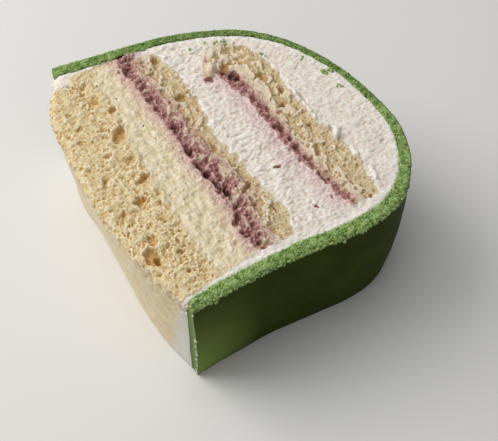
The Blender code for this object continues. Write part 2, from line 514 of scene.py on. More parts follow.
@dataclass(frozen=True)
class Ripple:
    """A ripple that the knife left: how far it is drawn out along the cut, and how it drifts."""

    wave: Wave
    stretch: float
    drift: float


@dataclass(frozen=True)
class Relief:
    """How each kind of food stands above or below the plane of the cut, in millimetres."""

    crumb: tuple[Wave, ...] = (Wave(51, 6.5, 0.42), Wave(55, 2.8, 0.30), Wave(57, 0.58, 0.15, 1))
    crumb_lift: float = 0.22
    fine_bubbles: Bubbles = Bubbles(21, 0.78, 0.75, 0.42)
    middling_bubbles: Bubbles = Bubbles(31, 1.4, 0.7, 0.56, power=1.5)
    large_bubbles: Bubbles = Bubbles(41, 3.0, 0.5, 0.7, luck=(1.9 / 3, 2.9 / 3))
    # Patches where the knife opened the crumb.
    opening: Wave = Wave(45, 4.2, 1.6)
    opening_depth: float = 0.5
    # How far the crumb's roughness changes over the slice, and how much it falls to the far side.
    patchiness: Wave = Wave(47, 6.0, 0.55, 2)
    far_calm: float = 0.3

    # Torn sponge: its sheets' share of the layer and their ragged edge, their swell and its grain.
    middle_sheet: float = 0.24
    sheet_edge: tuple[Wave, Wave] = (Wave(61, 4.2, 0.75), Wave(65, 1.5, 0.22, 2))
    sheet_lift: float = 0.2
    sheet_lumps: float = 0.42
    sheet_swell: Wave = Wave(85, 2.0, 0.26)
    sheet_grain: Wave = Wave(83, 0.62, 0.12, 1)
    lip: Wave = Wave(87, 3.2, 0.9)
    lip_height: float = 0.45
    # The open crumb between the sheets: finer, shallower and lower than the base's.
    torn_fineness: float = 1.4
    torn_share: float = 0.7
    torn_drop: float = 0.45

    # Cream: how far its ripples lean off the slice's width.
    knife_lean: float = 0.08
    cream_swell: Wave = Wave(111, 10.0, 0.30, 2)
    cream_drop: float = 0.1
    ripples: tuple[Ripple, ...] = (
        Ripple(Wave(121, 1.5, 0.20, 1), 1.6, 1.0),
        Ripple(Wave(131, 0.85, 0.18, 1), 1.7, 0.5),
        Ripple(Wave(141, 2.6, 0.24, 1), 2.4, 1.0),
    )
    middle_cream_gain: float = 1.3

    custard_swell: tuple[Wave, Wave] = (Wave(171, 5.5, 0.32, 2), Wave(181, 2.5, 0.36))
    custard_lumps: float = 0.22
    custard_grain: Wave = Wave(185, 0.65, 0.10, 1)
    custard_pits: float = 0.45
    custard_drop: float = 0.15

    jam_lumps: float = 0.9
    jam_grains: float = 0.65
    jam_swell: tuple[Wave, Wave] = (Wave(217, 0.6, 0.2, 1), Wave(215, 2.8, 0.85))
    jam_cavity: float = 1.9
    jam_drop: float = 0.35
    jam_open_drop: float = 0.3
    # The upper jam is flatter, and cut in under its open side.
    upper_jam_share: float = 0.85
    undercut: Wave = Wave(219, 2.4, 1.3)
    undercut_depth: float = 0.9

    def foam(self, x: Array, y: Array) -> Array:
        """Sponge: bubbles of three sizes, with thin ragged walls left between them.

        Args:
            x: x of each point.
            y: y of each point.

        Returns:
            The relief at each point.
        """
        bent = shifted(x, y, 11, 1.3, 0.45, 2)
        rough = (1 + self.patchiness.at(x, y)) * (1 - self.far_calm * ramp(y, -24, 6))
        return (
            heaped(x, y, *self.crumb)
            + self.crumb_lift
            - rough * (self.fine_bubbles.at(*bent) + self.middling_bubbles.at(*bent))
            - self.large_bubbles.at(*bent)
            - self.opening_depth * ramp(self.opening.at(x, y), 0.55, 1.55)
        )

    def sheet(self, layer: Layer, x: Array, y: Array, across: Array) -> Array:
        """How far torn sponge is a pale sheet, rather than open crumb: mostly along its jam.

        Args:
            layer: the layer of sponge.
            x: x of each point.
            y: y of each point.
            across: 0 at the jam's side of the layer, 1 at the other.

        Returns:
            From 0 for open crumb to 1 for a sheet.
        """
        top_sheet = np.clip(0.42 + 0.011 * y, 0.12, 0.5)
        share = self.middle_sheet if layer is Layer.MIDDLE_SPONGE else top_sheet
        broad, narrow = self.sheet_edge
        ragged = broad.at(x, y / 1.4) + narrow.at(x, y)
        raw = np.clip(2.6 * (share - across + ragged) + 0.5, 0, 1)
        return raw * raw * (3 - 2 * raw)

    def torn(self, layer: Layer, x: Array, y: Array, across: Array) -> Array:
        """Torn sponge: soft pale sheets that stand up, with open crumb lower down between them.

        Args:
            layer: the layer of sponge.
            x: x of each point.
            y: y of each point.
            across: 0 at the jam's side of the layer, 1 at the other.

        Returns:
            The relief at each point.
        """
        bent_x, bent_y = shifted(x, y, 71, 2.6, 0.8, 2)
        lumps = Noise(81).cells(bent_x, bent_y / 1.9, 2.6)
        sheet = self.sheet(layer, x, y, across)
        smooth = self.sheet_lift + self.sheet_lumps * lumps.grains(0.2)
        smooth += self.sheet_swell.at(x, y / 1.5) + self.sheet_grain.at(x, y)
        crumb = self.torn_share * self.foam(self.torn_fineness * x, self.torn_fineness * y)
        lip = 4 * sheet * (1 - sheet) * np.clip(0.35 + self.lip.at(x, y), 0, 1)
        return sheet * smooth + (1 - sheet) * (crumb - self.torn_drop) + self.lip_height * lip

    def whipped(self, x: Array, y: Array) -> Array:
        """Cream: short soft ripples that the knife left, over gentle swells.

        Args:
            x: x of each point.
            y: y of each point.

        Returns:
            The relief at each point.
        """
        along, across = x - self.knife_lean * y, y + self.knife_lean * x
        drift = Wave(101, 3.5, 0.6, 1).at(x, y)
        return self.cream_swell.at(x, y) - self.cream_drop + sum(
            ripple.wave.at(along / ripple.stretch, across + ripple.drift * drift)
            for ripple in self.ripples
        )

    def set_custard(self, x: Array, y: Array) -> Array:
        """Custard: soft fluffy lumps, a little torn, with a few pits.

        Args:
            x: x of each point.
            y: y of each point.

        Returns:
            The relief at each point.
        """
        pits = Noise(151).cells(x, y, 3.4)
        lumps = Noise(161).cells(x + Wave(183, 1.4, 0.5, 1).at(x, y), y, 1.7)
        rough = 1 - self.far_calm * ramp(y, 12, 32)
        return (
            rough * (heaped(x, y, *self.custard_swell) + self.custard_lumps * lumps.grains(0.2))
            + self.custard_grain.at(x, y)
            - self.custard_pits * pits.bowls(0.15) * (pits.luck > 0.75)
            - self.custard_drop
        )

    def jam(self, x: Array, y: Array, across: Array) -> Array:
        """Jam: cavities along its open side, with rough lumps of soaked crumb round them.

        Args:
            x: x of each point.
            y: y of each point.
            across: 0 on the open side of the layer, 1 on the other.

        Returns:
            The relief at each point.
        """
        bent = shifted(x, y, 191, 1.2, 0.5, 1)
        open_side = np.clip(1.1 - across, 0, 1)
        cavity = np.clip(0.35 + Wave(211, 3.8, 1.3).at(0.6 * x, y), 0, 1) * open_side
        return (
            self.jam_lumps * Noise(201).cells(*bent, 1.9).grains(0.1)
            + self.jam_grains * Noise(203).cells(*bent, 0.85).grains(0.2)
            + heaped(x, y, *self.jam_swell)
            - self.jam_cavity * cavity
            - self.jam_open_drop * open_side
            - self.jam_drop
        )

    def of(self, layer: Layer, x: Array, y: Array, across: Array) -> Array:
        """The relief of one layer.

        Args:
            layer: the layer.
            x: x of each point.
            y: y of each point.
            across: how far each point is from one side of the layer, from 0 to 1.

        Returns:
            The relief at each point.
        """
        match layer:
            case Layer.BASE_SPONGE:
                return self.foam(x, y)
            case Layer.CUSTARD:
                return self.set_custard(x, y)
            case Layer.JAM_LOWER:
                return self.jam(x, y, across)
            case Layer.JAM_UPPER:
                cut_in = np.clip(1.2 - 2.6 * across, 0, 1)
                cut_in = cut_in * np.clip(0.6 + self.undercut.at(x, y), 0, 1)
                upper = self.upper_jam_share * self.jam(x, y, across)
                return upper - self.undercut_depth * cut_in
            case Layer.MIDDLE_SPONGE | Layer.TOP_SPONGE:
                return self.torn(layer, x, y, across)
            case Layer.MIDDLE_CREAM:
                return self.middle_cream_gain * self.whipped(x, y)
            case _:
                return self.whipped(x, y)


BASE_HOLES = (
    Hollow(-2.7, -33.4, 4.4, 2.6, -79, 2.0),
    Hollow(-1.9, -35.4, 2.1, 1.3, -83, 4.6),
    Hollow(0.0, -27.9, 2.4, 1.6, -83, 1.7),
    Hollow(6.3, -35.8, 1.7, 1.1, -31, 1.8),
    Hollow(3.7, -31.8, 1.7, 0.6, 60, 1.3),
    Hollow(7.2, -31.8, 1.1, 0.7, -85, 1.5),
    Hollow(3.1, -11.8, 2.4, 2.0, -18, 2.0),
    Hollow(8.3, -4.0, 3.2, 1.6, 15, 1.9),
    Hollow(8.6, -15.4, 1.0, 1.0, 0, 1.4),
    Hollow(-4.5, -14.1, 2.1, 0.9, 58, 1.6),
    Hollow(7.1, -23.1, 0.9, 0.8, -45, 1.3),
    Hollow(5.7, -43.4, 0.9, 0.7, 0, 1.7),
    Hollow(9.5, -43.5, 0.8, 0.7, 0, 1.3),
    Hollow(8.4, 17.5, 5.2, 2.0, 50, 1.9),
    Hollow(6.2, 35.5, 3.5, 2.3, 54, 1.2),
    Hollow(4.4, 42.4, 2.7, 1.6, -81, 1.0),
    Hollow(10.4, 28.7, 2.4, 1.3, 26, 1.8),
    Hollow(7.2, 5.2, 2.5, 1.5, 11, 1.3),
    Hollow(-4.6, 0.2, 1.9, 1.1, 45, 1.1),
)
CUSTARD_HOLES = (
    Hollow(20.1, 43.8, 1.2, 0.7, -88, 1.3),
    Hollow(17.0, 49.6, 9.0, 1.7, 0, 0.7, 0.0),
)
MIDDLE_SPONGE_HOLES = (
    Hollow(34.3, 42.7, 2.3, 1.5, 62, 1.8),
    Hollow(35.0, 21.6, 2.4, 1.9, 65, 1.9),
    Hollow(33.2, 11.5, 1.4, 1.1, 86, 1.6),
    Hollow(41.8, -36.7, 1.6, 0.4, -89, 1.7),
    Hollow(36.9, -31.8, 0.8, 0.7, 0, 1.3),
    Hollow(37.5, -24.4, 3.1, 0.8, 31, 1.6),
    Hollow(35.6, -3.5, 2.0, 0.9, -81, 1.5),
)
LOWER_JAM_HOLES = (
    Hollow(23.2, 49.4, 2.6, 1.8, 0, -1.4),
    Hollow(25.3, 47.3, 2.6, 1.3, -90, 1.1),
    Hollow(22.3, 44.9, 1.0, 0.7, 83, 1.2),
    Hollow(25.2, 41.0, 2.4, 1.0, 83, 1.0),
    Hollow(25.9, 25.2, 2.7, 1.3, 86, 1.5),
    Hollow(27.0, 10.5, 3.0, 1.3, 89, 1.6),
    Hollow(26.8, 0.0, 2.7, 1.2, 85, 2.4),
    Hollow(26.9, -8.9, 1.9, 0.9, -81, 2.2),
    Hollow(28.3, -12.6, 1.9, 1.1, -70, 2.3),
    Hollow(29.0, -18.3, 2.6, 1.5, -75, 2.6),
    Hollow(30.4, -23.0, 2.6, 1.3, -86, 2.6),
    Hollow(28.4, -34.0, 2.9, 1.4, 47, 2.2),
    Hollow(31.7, -42.7, 1.4, 0.9, 7, 1.6),
    Hollow(30.9, -46.4, 1.8, 1.2, -69, 1.6),
    Hollow(27.4, -39.2, 0.9, 0.8, 0, 1.6),
)
# Pale flakes of sponge that stand up in the lower jam.
JAM_FLAKES = (
    Hollow(35.2, -23.6, 2.4, 1.3, 30, -0.6),
    Hollow(32.6, -26.6, 2.2, 1.1, 5, -0.6),
    Hollow(30.2, -27.4, 1.6, 0.8, -30, -0.6),
    Hollow(35.2, -36.6, 1.9, 1.0, -80, -0.7),
    Hollow(36.0, -40.8, 1.8, 1.0, -60, -0.7),
    Hollow(35.4, -17.4, 3.0, 1.3, -70, -1.0),
    Hollow(29.4, -5.6, 1.4, 1.1, 10, -0.4),
    Hollow(31.8, -46.2, 2.0, 0.9, 20, -0.9),
    Hollow(30.2, 7.6, 2.0, 1.0, 40, -0.7),
    Hollow(28.6, 18.6, 2.4, 0.9, 60, -0.6),
)
UPPER_JAM_HOLES = (
    Hollow(47.9, 24.3, 1.8, 1.2, -21, 1.4),
    Hollow(55.8, 22.6, 3.8, 1.9, -42, 1.3),
    Hollow(57.8, 14.3, 2.4, 0.9, 84, 1.2),
    Hollow(58.8, 3.8, 2.8, 0.7, 81, 1.0),
    Hollow(60.4, -9.3, 2.5, 0.7, 88, 1.1),
    Hollow(59.4, -23.3, 1.1, 0.9, 25, 1.3),
    Hollow(62.6, -33.5, 3.4, 0.7, -84, 1.0),
    Hollow(63.9, -42.7, 2.5, 1.0, -81, 0.8),
)
TOP_SPONGE_HOLES = (
    Hollow(55.6, 26.4, 3.9, 1.9, 62, 2.1),
    Hollow(52.8, 31.2, 7.8, 2.3, 58, -1.2),
    Hollow(62.9, 30.5, 5.7, 3.5, -81, 0.8, 0.1),
    Hollow(64.2, 32.1, 2.9, 2.1, -69, 1.0, 0.2),
    Hollow(66.7, 15.8, 3.5, 1.8, 80, 1.9),
    Hollow(69.2, 7.0, 2.1, 1.1, 72, 2.0),
    Hollow(66.3, 0.6, 1.5, 1.2, -27, 2.0),
    Hollow(63.5, 20.0, 4.6, 0.8, -88, -0.8),
    Hollow(64.9, 7.6, 6.2, 1.0, 80, -1.1),
    Hollow(67.5, -13.4, 4.8, 0.8, 80, -0.8),
    Hollow(65.6, -23.0, 5.4, 0.8, 76, -0.7),
    Hollow(70.4, -11.5, 1.0, 0.9, 13, 1.8),
    Hollow(76.4, -16.4, 1.5, 0.9, 75, 1.2),
    Hollow(67.2, -22.4, 3.6, 1.1, 65, 1.2),
    Hollow(62.8, -24.9, 1.5, 0.9, 39, 1.6),
    Hollow(70.1, -43.3, 0.9, 0.7, 0, 1.3),
    Hollow(73.2, -48.0, 0.9, 0.8, 0, 1.2),
)
CREAM_MARKS = (
    Hollow(51.0, -22.1, 2.0, 0.8, -13, 0.9, 1.0),
    Hollow(54.7, -42.6, 1.2, 0.6, -63, 0.7, 1.0),
    Hollow(61.2, -42.0, 0.9, 0.7, -79, 0.7, 1.0),
    Hollow(72.5, 4.6, 5.8, 1.0, -83, -1.3),
    Hollow(73.6, -7.2, 5.6, 1.0, -87, -1.2),
    # A groove whose brownish tint is a painted shadow beside the ridge.
    Hollow(74.6, 0.2, 3.4, 0.8, -89, 0.8, 0.3),
    Hollow(44.8, -42.6, 4.3, 0.8, 70, -0.4),
    Hollow(76.8, -19.4, 3.1, 1.5, 58, -1.6),
    Hollow(79.8, -19.9, 2.7, 1.4, 50, 0.3, 0.0),
    Hollow(78.1, -30.9, 4.6, 1.0, 85, -0.8),
    Hollow(78.9, -40.6, 4.6, 1.0, 77, -0.8),
    Hollow(89.5, -30.3, 1.3, 0.9, 31, 0.5, 0.45),
)
HOLLOWS = (
    BASE_HOLES + CUSTARD_HOLES + LOWER_JAM_HOLES + JAM_FLAKES + MIDDLE_SPONGE_HOLES
    + UPPER_JAM_HOLES + TOP_SPONGE_HOLES + CREAM_MARKS
)
# Patches that the jam has soaked pink, beside the tongue of the top sponge.
PINK_EDGES = (Hollow(50.6, 33.4, 7.0, 1.6, 61), Hollow(47.6, 27.6, 2.6, 1.8, 60))
# Patches that a layer covers away from its own place.
ISLANDS = tuple((Layer.MIDDLE_SPONGE, flake) for flake in JAM_FLAKES) + (
    (Layer.BASE_SPONGE, Hollow(7.8, 48.4, 5.4, 2.6, -6)),
    (Layer.CUSTARD, Hollow(17.0, 48.9, 5.6, 2.4, -8)),
    (Layer.JAM_LOWER, Hollow(25.4, 49.6, 3.5, 2.8, 0)),
    (Layer.CREAM_COAT, Hollow(54.2, 41.2, 4.2, 3.0, 0)),
    (Layer.CREAM_COAT, Hollow(73.6, 4.6, 8.0, 1.9, -85)),
    (Layer.CREAM_COAT, Hollow(74.9, -9.0, 6.4, 1.8, -82)),
    (Layer.CREAM_COAT, Hollow(76.8, -19.4, 3.0, 1.5, 58)),
    (Layer.TOP_SPONGE, Hollow(52.6, 31.4, 8.2, 3.0, 55)),
    (Layer.JAM_UPPER, Hollow(47.9, 24.3, 2.2, 1.4, -21)),
    (Layer.JAM_UPPER, Hollow(55.6, 22.4, 4.4, 2.6, -40)),
)


def blurred(values: Array, reach: int) -> Array:
    """A grid's values, each averaged with those around it.

    Args:
        values: a two-dimensional grid.
        reach: how many cells away the average goes.

    Returns:
        The averaged grid.
    """
    weights = np.hanning(2 * reach + 3)[1:-1]
    weights /= weights.sum()
    padded = np.pad(values, reach, mode="edge")
    padded = sum(w * padded[i : i + values.shape[0]] for i, w in enumerate(weights))
    return sum(w * padded[:, i : i + values.shape[1]] for i, w in enumerate(weights))


def eased(values: Array) -> Array:
    """A grid's values with their sharpest steps taken off."""
    return 0.75 * values + 0.25 * blurred(values, 1)


@dataclass
class CutFace:
    """The grid over the section, inside the marzipan, and the layers that share its cells."""

    section: Section
    outline: Outline
    cell: float = 0.24
    # How far a grid point is thrown out of line, as a share of a cell.
    jitter: float = 0.45
    left: float = -12.0
    right: float = 99.0
    low: float = -57.0
    high: float = 58.0
    # The grid is squeezed between the base's outer face and this x, so that its first column
    # follows that face.
    squeeze_to: float = 7.0
    storeys: int = 130
    # How many cells wide the faces of the underside are.
    coarse: int = 5
    # A layer's share of the relief below which it is left out.
    least_share: float = 0.004
    # How many cells wide neighbouring layers' reliefs and tones run into each other.
    soft_relief: int = 4
    soft_tone: int = 9
    softer_tone: int = 20
    # The layers reach in under the marzipan, up to these shares of its thickness from outside.
    under_rim: float = 0.6
    under_rim_by_base: float = 0.9
    # Bites and crumbling along the base's upper edge.
    edge_bites: Wave = Wave(431, 3.6, 1.0)
    edge_bite_depth: float = 1.5
    edge_crumbling: Wave = Wave(441, 1.4, 1.1)
    # The first seeds for the tears of the lines between layers and of the layers' two ends.
    line_seed: int = 230
    end_seed: int = 330
    seed_step: int = 10
    # Where the lower jam gives way to the sponge beyond it.
    jam_gives_way: Wave = Wave(305, 3.2, 1.0)
    # How far the edges of patches, hollows and flakes are torn.
    island_tear: Wave = Wave(303, 1.7, 0.6)
    tear_width: float = 1.7
    hole_tear: float = 0.5
    flake_tear: float = 0.8
    widest_torn: float = 1.6
    # How strongly a point below its surroundings is darkened as painted shade, by how many cells
    # those reach.
    pit_shade_reaches: tuple[tuple[int, float], ...] = ((15, 0.3), (7, 0.55), (3, 0.55))
    # How far the jam soaks into what lies before and behind the lower one, then the upper one.
    soak_reaches: tuple[float, ...] = (5.5, 4.4, 9.0, 2.8)
    # How far the face dips beside the marzipan, how wide that dip is, and the same at the base.
    rim_dip: float = 0.25
    rim_dip_width: float = 1.2
    base_dip: float = 1.5
    base_dip_width: float = 3.0
    # How far the base's outer face swells, and how far its crumbs stand out near the cut.
    wall_swell: Wave = Wave(401, 13.0, 0.3, 2)
    wall_streaks: Wave = Wave(411, 2.2, 0.08, 2)
    wall_grit: Wave = Wave(416, 1.0, 0.08, 2)
    wall_crumb: Wave = Wave(426, 2.8, 0.75)
    wall_pores: float = 0.35
    wall_grains: float = 0.6
    # How far along the outer face the thick smear of cream goes at the cut, and further below.
    smear_edge: float = -49.6
    smear_spread: float = 9.5
    smear_ragged: Wave = Wave(433, 4.0, 2.2)
    smear_blotches: Wave = Wave(435, 6.0, 0.15)

    def __post_init__(self) -> None:
        """Lays the grid out, shares its cells and raises its relief."""
        even_x, even_y = np.meshgrid(
            np.arange(self.left, self.right, self.cell), np.arange(self.low, self.high, self.cell)
        )
        lattice = even_x / self.cell, even_y / self.cell
        shift_x, shift_y = (
            self.jitter * self.cell * (Noise(seed).chance(*lattice) - 0.5) for seed in (7, 8)
        )
        self.grid_x = even_x + np.where(even_x > self.left, shift_x, 0)
        self.y = even_y + shift_y
        self.x = self._squeezed(1.0)
        self.owners = self._share_out()
        self.fields = self._raise_relief()

    def build(self) -> Iterator[bpy.types.Object]:
        """Makes and dresses the layers, one piece after another."""
        for layer, finish in LAYER_FINISHES.items():
            yield dress(self.piece(layer), finish, layer.value)

    def _squeezed(self, height: float) -> Array:
        """x of the grid, with its first column on the base's outer face, ragged at the cut.

        Args:
            height: where on that face, as a share of the thickness, with the cut at 1.

        Returns:
            x of each grid point.
        """
        edge = self.section.base_edge(self.y, height)
        if height == 1:
            ragged = np.clip((self.y + 20) / 40, 0.35, 1)
            bites = np.clip(self.edge_bites.at(self.y, 0 * self.y), -0.5, 1.2)
            crumbling = self.edge_crumbling.at(self.y, 0 * self.y)
            edge = edge - ragged * (self.edge_bite_depth * bites + crumbling)
        share = (self.grid_x - self.left) / (self.squeeze_to - self.left)
        return np.where(share < 1, edge + (self.squeeze_to - edge) * share, self.grid_x)

    def owner_at(self, x: Array, y: Array) -> Array:
        """Which layer is at each point, with every line torn by its own noise.

        Args:
            x: x of each point.
            y: y of each point.

        Returns:
            The rank of the layer at each point.
        """
        s = self.section
        upper_jam, lower_jam = Layer.JAM_UPPER.rank, Layer.JAM_LOWER.rank
        owner = np.zeros(x.shape, int)
        for i, (far, wide) in enumerate(s.tears):
            torn = Wave(self.line_seed + self.seed_step * i, wide, far).at(x, y)
            owner = np.where(x > s.line(i, y) + torn, i + 1, owner)
        owner = np.where((owner == upper_jam) & (y > s.upper_jam_end), upper_jam - 1, owner)
        across = self._across(Layer.JAM_LOWER, x, y)
        torn_in = (across > 0.3) & (self.jam_gives_way.at(x, y) > 0.62 - 0.4 * across)
        owner = np.where((owner == lower_jam) & torn_in, lower_jam + 1, owner)
        near_tear, far_tear = (
            Wave(self.end_seed + self.seed_step * i, wide, far).at(x, y)
            for i, (far, wide) in enumerate(s.end_tears)
        )
        before = y < s.end(s.near_end, x) + near_tear
        after = (y > s.end(s.far_end, x) + far_tear) & (x < s.far_end_reach)
        owner = np.where(before | after, Layer.CREAM_COAT.rank, owner)
        tear = self.island_tear.at(x, y)
        for layer, patch in ISLANDS:
            owner = np.where(patch.reach(x + tear, y + tear) > 0, layer.rank, owner)
        return owner

    def _share_out(self) -> Array:
        """Gives each cell to a layer.

        Returns:
            The layer's rank, or -1 outside the marzipan's middle.
        """
        middle_x, middle_y = ((v[:-1, :-1] + v[1:, 1:]) / 2 for v in (self.x, self.y))
        inside = self.outline.holds(middle_x, middle_y, self.under_rim)
        by_the_base = middle_x < self.section.base_edge(middle_y, 1.0) + 2.0
        inside &= ~by_the_base | self.outline.holds(middle_x, middle_y, self.under_rim_by_base)
        return np.where(inside, self.owner_at(middle_x, middle_y), -1)

    def _across(self, layer: Layer, x: Array, y: Array) -> Array:
        """How far each point is across its layer.

        Args:
            layer: the layer.
            x: x of each point.
            y: y of each point.

        Returns:
            From 0 to 1, counted from the side away from the base for the upper jam.
        """
        first = min(max(layer.rank - 1, 0), len(self.section.starts) - 2)
        start, end = (self.section.line(i, y) for i in (first, first + 1))
        share = (x - start) / np.maximum(end - start, 1.0)
        return np.clip(1 - share if layer is Layer.JAM_UPPER else share, 0, 1)

    def _layered(self, owner: Array) -> tuple[Array, Array, Array]:
        """The layers' own reliefs and tones, each run a little way into the next.

        Args:
            owner: the rank of the layer at each grid point.

        Returns:
            The height, how far the tone melts into the next layer's, and how far torn sponge is
            a pale sheet, at each grid point.
        """
        relief = Relief()
        height, melt, pale = (np.zeros(self.x.shape) for _ in range(3))
        for layer in Layer:
            mine = (owner == layer.rank).astype(float)
            weight = blurred(mine, self.soft_relief)
            here = weight > self.least_share
            x, y = self.x[here], self.y[here]
            across = self._across(layer, x, y)
            height[here] += weight[here] * relief.of(layer, x, y, across)
            even = layer in (Layer.BASE_SPONGE, Layer.CUSTARD)
            melt += mine * (1 - blurred(mine, self.softer_tone if even else self.soft_tone))
            if layer in (Layer.MIDDLE_SPONGE, Layer.TOP_SPONGE):
                pale[here] += weight[here] * relief.sheet(layer, x, y, across)
        return height, melt, pale

    def _hollowed(self) -> tuple[Array, Array]:
        """The hollows and humps, each with a torn edge.

        Returns:
            How deep they go, and how far they take on the food's hole colour, at each grid point.
        """
        tear_x, tear_y = (
            Noise(seed).layered(self.x, self.y, self.tear_width) for seed in (301, 302)
        )
        depth, hole = np.zeros(self.x.shape), np.zeros(self.x.shape)
        for item in HOLLOWS:
            tear = self.flake_tear if item in JAM_FLAKES else self.hole_tear
            tear = tear * min(item.wide, self.widest_torn)
            reach = item.reach(self.x + tear * tear_x, self.y + tear * tear_y)
            steep = 0.95 + 0.22 * abs(item.depth)
            dig = item.depth * np.clip(reach * steep, 0, 1)
            depth = np.where(np.abs(dig) > np.abs(depth), dig, depth)
            hole = np.maximum(hole, np.clip(reach * 1.6, 0, 1) * item.tinted())
        return depth, hole

    def _raise_relief(self) -> dict[str, Array]:
        """Raises the face.

        Returns:
            Its height and the numbers that its materials read, at each grid point.
        """
        owner = self.owner_at(self.x, self.y)
        height, melt, pale = self._layered(owner)
        hollow, hole = self._hollowed()
        flat = eased(height)
        height = height - hollow
        # The jam's depth below the cut sets its hole colour, as painted shade in its cavities.
        jam_depth = ramp(-height, 0.5, 2.9)
        inside = self._inside()
        height -= self.rim_dip * ramp(inside, self.rim_dip_width, 0) ** 2
        height -= 1.7 * ramp(-inside, 0, 0.9)
        to_border = self.x - self.section.base_edge(self.y, 1.0)
        height = height * np.clip(0.3 + to_border / 4, 0, 1)
        height = eased(height - self.base_dip * ramp(to_border, self.base_dip_width, 0) ** 2)
        # Painted shade in pits, and painted highlight on crests, on pale sheets and on humps, read
        # from the relief.
        pit = sum(share * (blurred(flat, reach) - flat) for reach, share in self.pit_shade_reaches)
        pit = pit * (1 - 0.25 * pale) - 0.08 * pale + 0.25 * np.clip(hollow, -1, 0)
        jam = (owner == Layer.JAM_LOWER.rank) | (owner == Layer.JAM_UPPER.rank)
        return {
            "height": height,
            "pit": pit,
            "depth": np.where(jam, jam_depth, hole),
            "stain": self._stain(),
            "melt": np.maximum(melt, 0.75 * pale),
            "rim": ramp(inside, 3.0, 0),
        }

    def _inside(self) -> Array:
        """How far each grid point lies inside the marzipan's inner side.

        Returns:
            Millimetres, and below 0 under the marzipan.
        """
        # Beyond twice the marzipan's thickness, every point counts as this far inside.
        ring_points, thicknesses, far_inside = 900, 2.0, 5.0
        share = np.linspace(0, 1, ring_points)
        ring_x, ring_y = self.outline.at(share, self.outline.thickness(share))
        close = ~self.outline.holds(self.x, self.y, thicknesses)
        near_x, near_y = self.x[close], self.y[close]
        gap = np.full(near_x.shape, np.inf)
        for ax, ay in zip(ring_x, ring_y):
            gap = np.minimum(gap, (near_x - ax) ** 2 + (near_y - ay) ** 2)
        inside = np.full(self.x.shape, far_inside)
        inside[close] = np.sqrt(gap) * np.where(self.outline.holds(near_x, near_y, 1.0), 1, -1)
        return inside

    def _stain(self) -> Array:
        """How far the jam has soaked each grid point pink.

        Returns:
            From 0 to 1.
        """
        s, x, y = self.section, self.x, self.y
        blotch = Wave(311, 3.0, 1.3).at(x, y)
        lower, lower_end, upper, upper_end = (s.line(i, y) for i in (1, 2, 4, 5))
        # Each jam soaks into what lies before it and behind it.
        cream_start, into_jam = 44, 2
        sides = (
            (lower - x, x < lower + into_jam),
            (x - lower_end, (x > lower + into_jam) & (x < cream_start + into_jam)),
            (upper - x, (x > cream_start) & (x < upper + into_jam)),
            (x - upper_end, x > upper + into_jam),
        )
        stain = np.zeros(x.shape)
        for (away, side), reach in zip(sides, self.soak_reaches):
            stain = np.where(side, ramp(away + blotch, reach, 0), stain)
        in_jam = (x > lower + into_jam) & (x < lower_end)
        stain = np.where(in_jam, np.minimum(stain, 0.55), stain)
        for flake in JAM_FLAKES:
            stain = stain * (1 - 0.4 * np.clip(2 * flake.reach(x, y), 0, 1))
        faded = ramp(y, s.upper_jam_end + 2, s.upper_jam_end - 3)
        faded = np.where(x > cream_start, faded, 1)
        near_strip = np.clip((y - s.end(s.near_end, x)) / 2.0, 0.15, 1)
        stain = stain * faded * near_strip
        for edge in PINK_EDGES:
            stain = np.maximum(stain, 0.75 * edge.reach(x + 0.5 * blotch, y))
        return stain

    def height_at(self, x: float, y: float) -> float:
        """Height of the cut face over the section's point, in millimetres from the underside."""
        nearest = np.argmin((self.x - x) ** 2 + (self.y - y) ** 2)
        return self.section.thickness + float(self.fields["height"].ravel()[nearest])

    def piece(self, layer: Layer) -> bpy.types.Object:
        """One layer as a closed block, from the cut face down to the underside.

        Args:
            layer: the layer to build.

        Returns:
            Its object.
        """
        s = self.section
        rows, columns = self.x.shape
        top = s.to_world(self.x, self.y, s.thickness + self.fields["height"]).reshape(-1, 3)
        foot = s.to_world(self._squeezed(0.0), self.y, np.zeros(self.x.shape)).reshape(-1, 3)
        index = np.arange(rows * columns).reshape(rows, columns)
        coarse_row, coarse_column = (
            np.clip((place + self.coarse // 2) // self.coarse * self.coarse, 0, count - 1)
            for place, count in zip(np.indices((rows, columns)), (rows, columns))
        )
        below = index.size + coarse_row * columns + coarse_column
        mine = self.owners == layer.rank
        padded = np.pad(mine, 1)
        near, far = slice(None, -1), slice(1, None)
        around = (near, near), (near, far), (far, far), (far, near)
        above_ring = [index[place][mine] for place in around]
        below_ring = [below[place][mine] for place in reversed(around)]
        faces = [np.stack(above_ring, 1), np.stack(below_ring, 1)]
        smooth = [np.ones(len(faces[0]), bool), np.zeros(len(faces[1]), bool)]
        neighbours = padded[:-2, 1:-1], padded[1:-1, 2:], padded[2:, 1:-1], padded[1:-1, :-2]
        for side, neighbour in enumerate(neighbours):
            edge = mine & ~neighbour
            if side == 3:
                # The wall closes this side.
                edge[:, 0] = False
            first, second = around[side], around[(side + 1) % 4]
            ring = below[first][edge], below[second][edge], index[second][edge], index[first][edge]
            faces.append(np.stack(ring, 1))
            smooth.append(np.zeros(len(ring[0]), bool))
        wall_points, wall_fields, wall = self._wall(index, below)
        cells = np.flatnonzero(mine[:, 0])
        for k in range(self.storeys):
            low, high = wall[:, k], wall[:, k + 1]
            faces.append(np.stack([low[cells + 1], low[cells], high[cells], high[cells + 1]], 1))
            smooth.append(np.ones(len(cells), bool))
        none = np.zeros(index.size)
        fields = {
            name: np.concatenate([self.fields.get(name, none).ravel(), none, values])
            for name, values in wall_fields.items()
        }
        return mesh_of_faces(
            layer.value + "_food",
            np.concatenate([top, foot, wall_points]),
            np.concatenate(faces),
            np.concatenate(smooth),
            fields,
        )

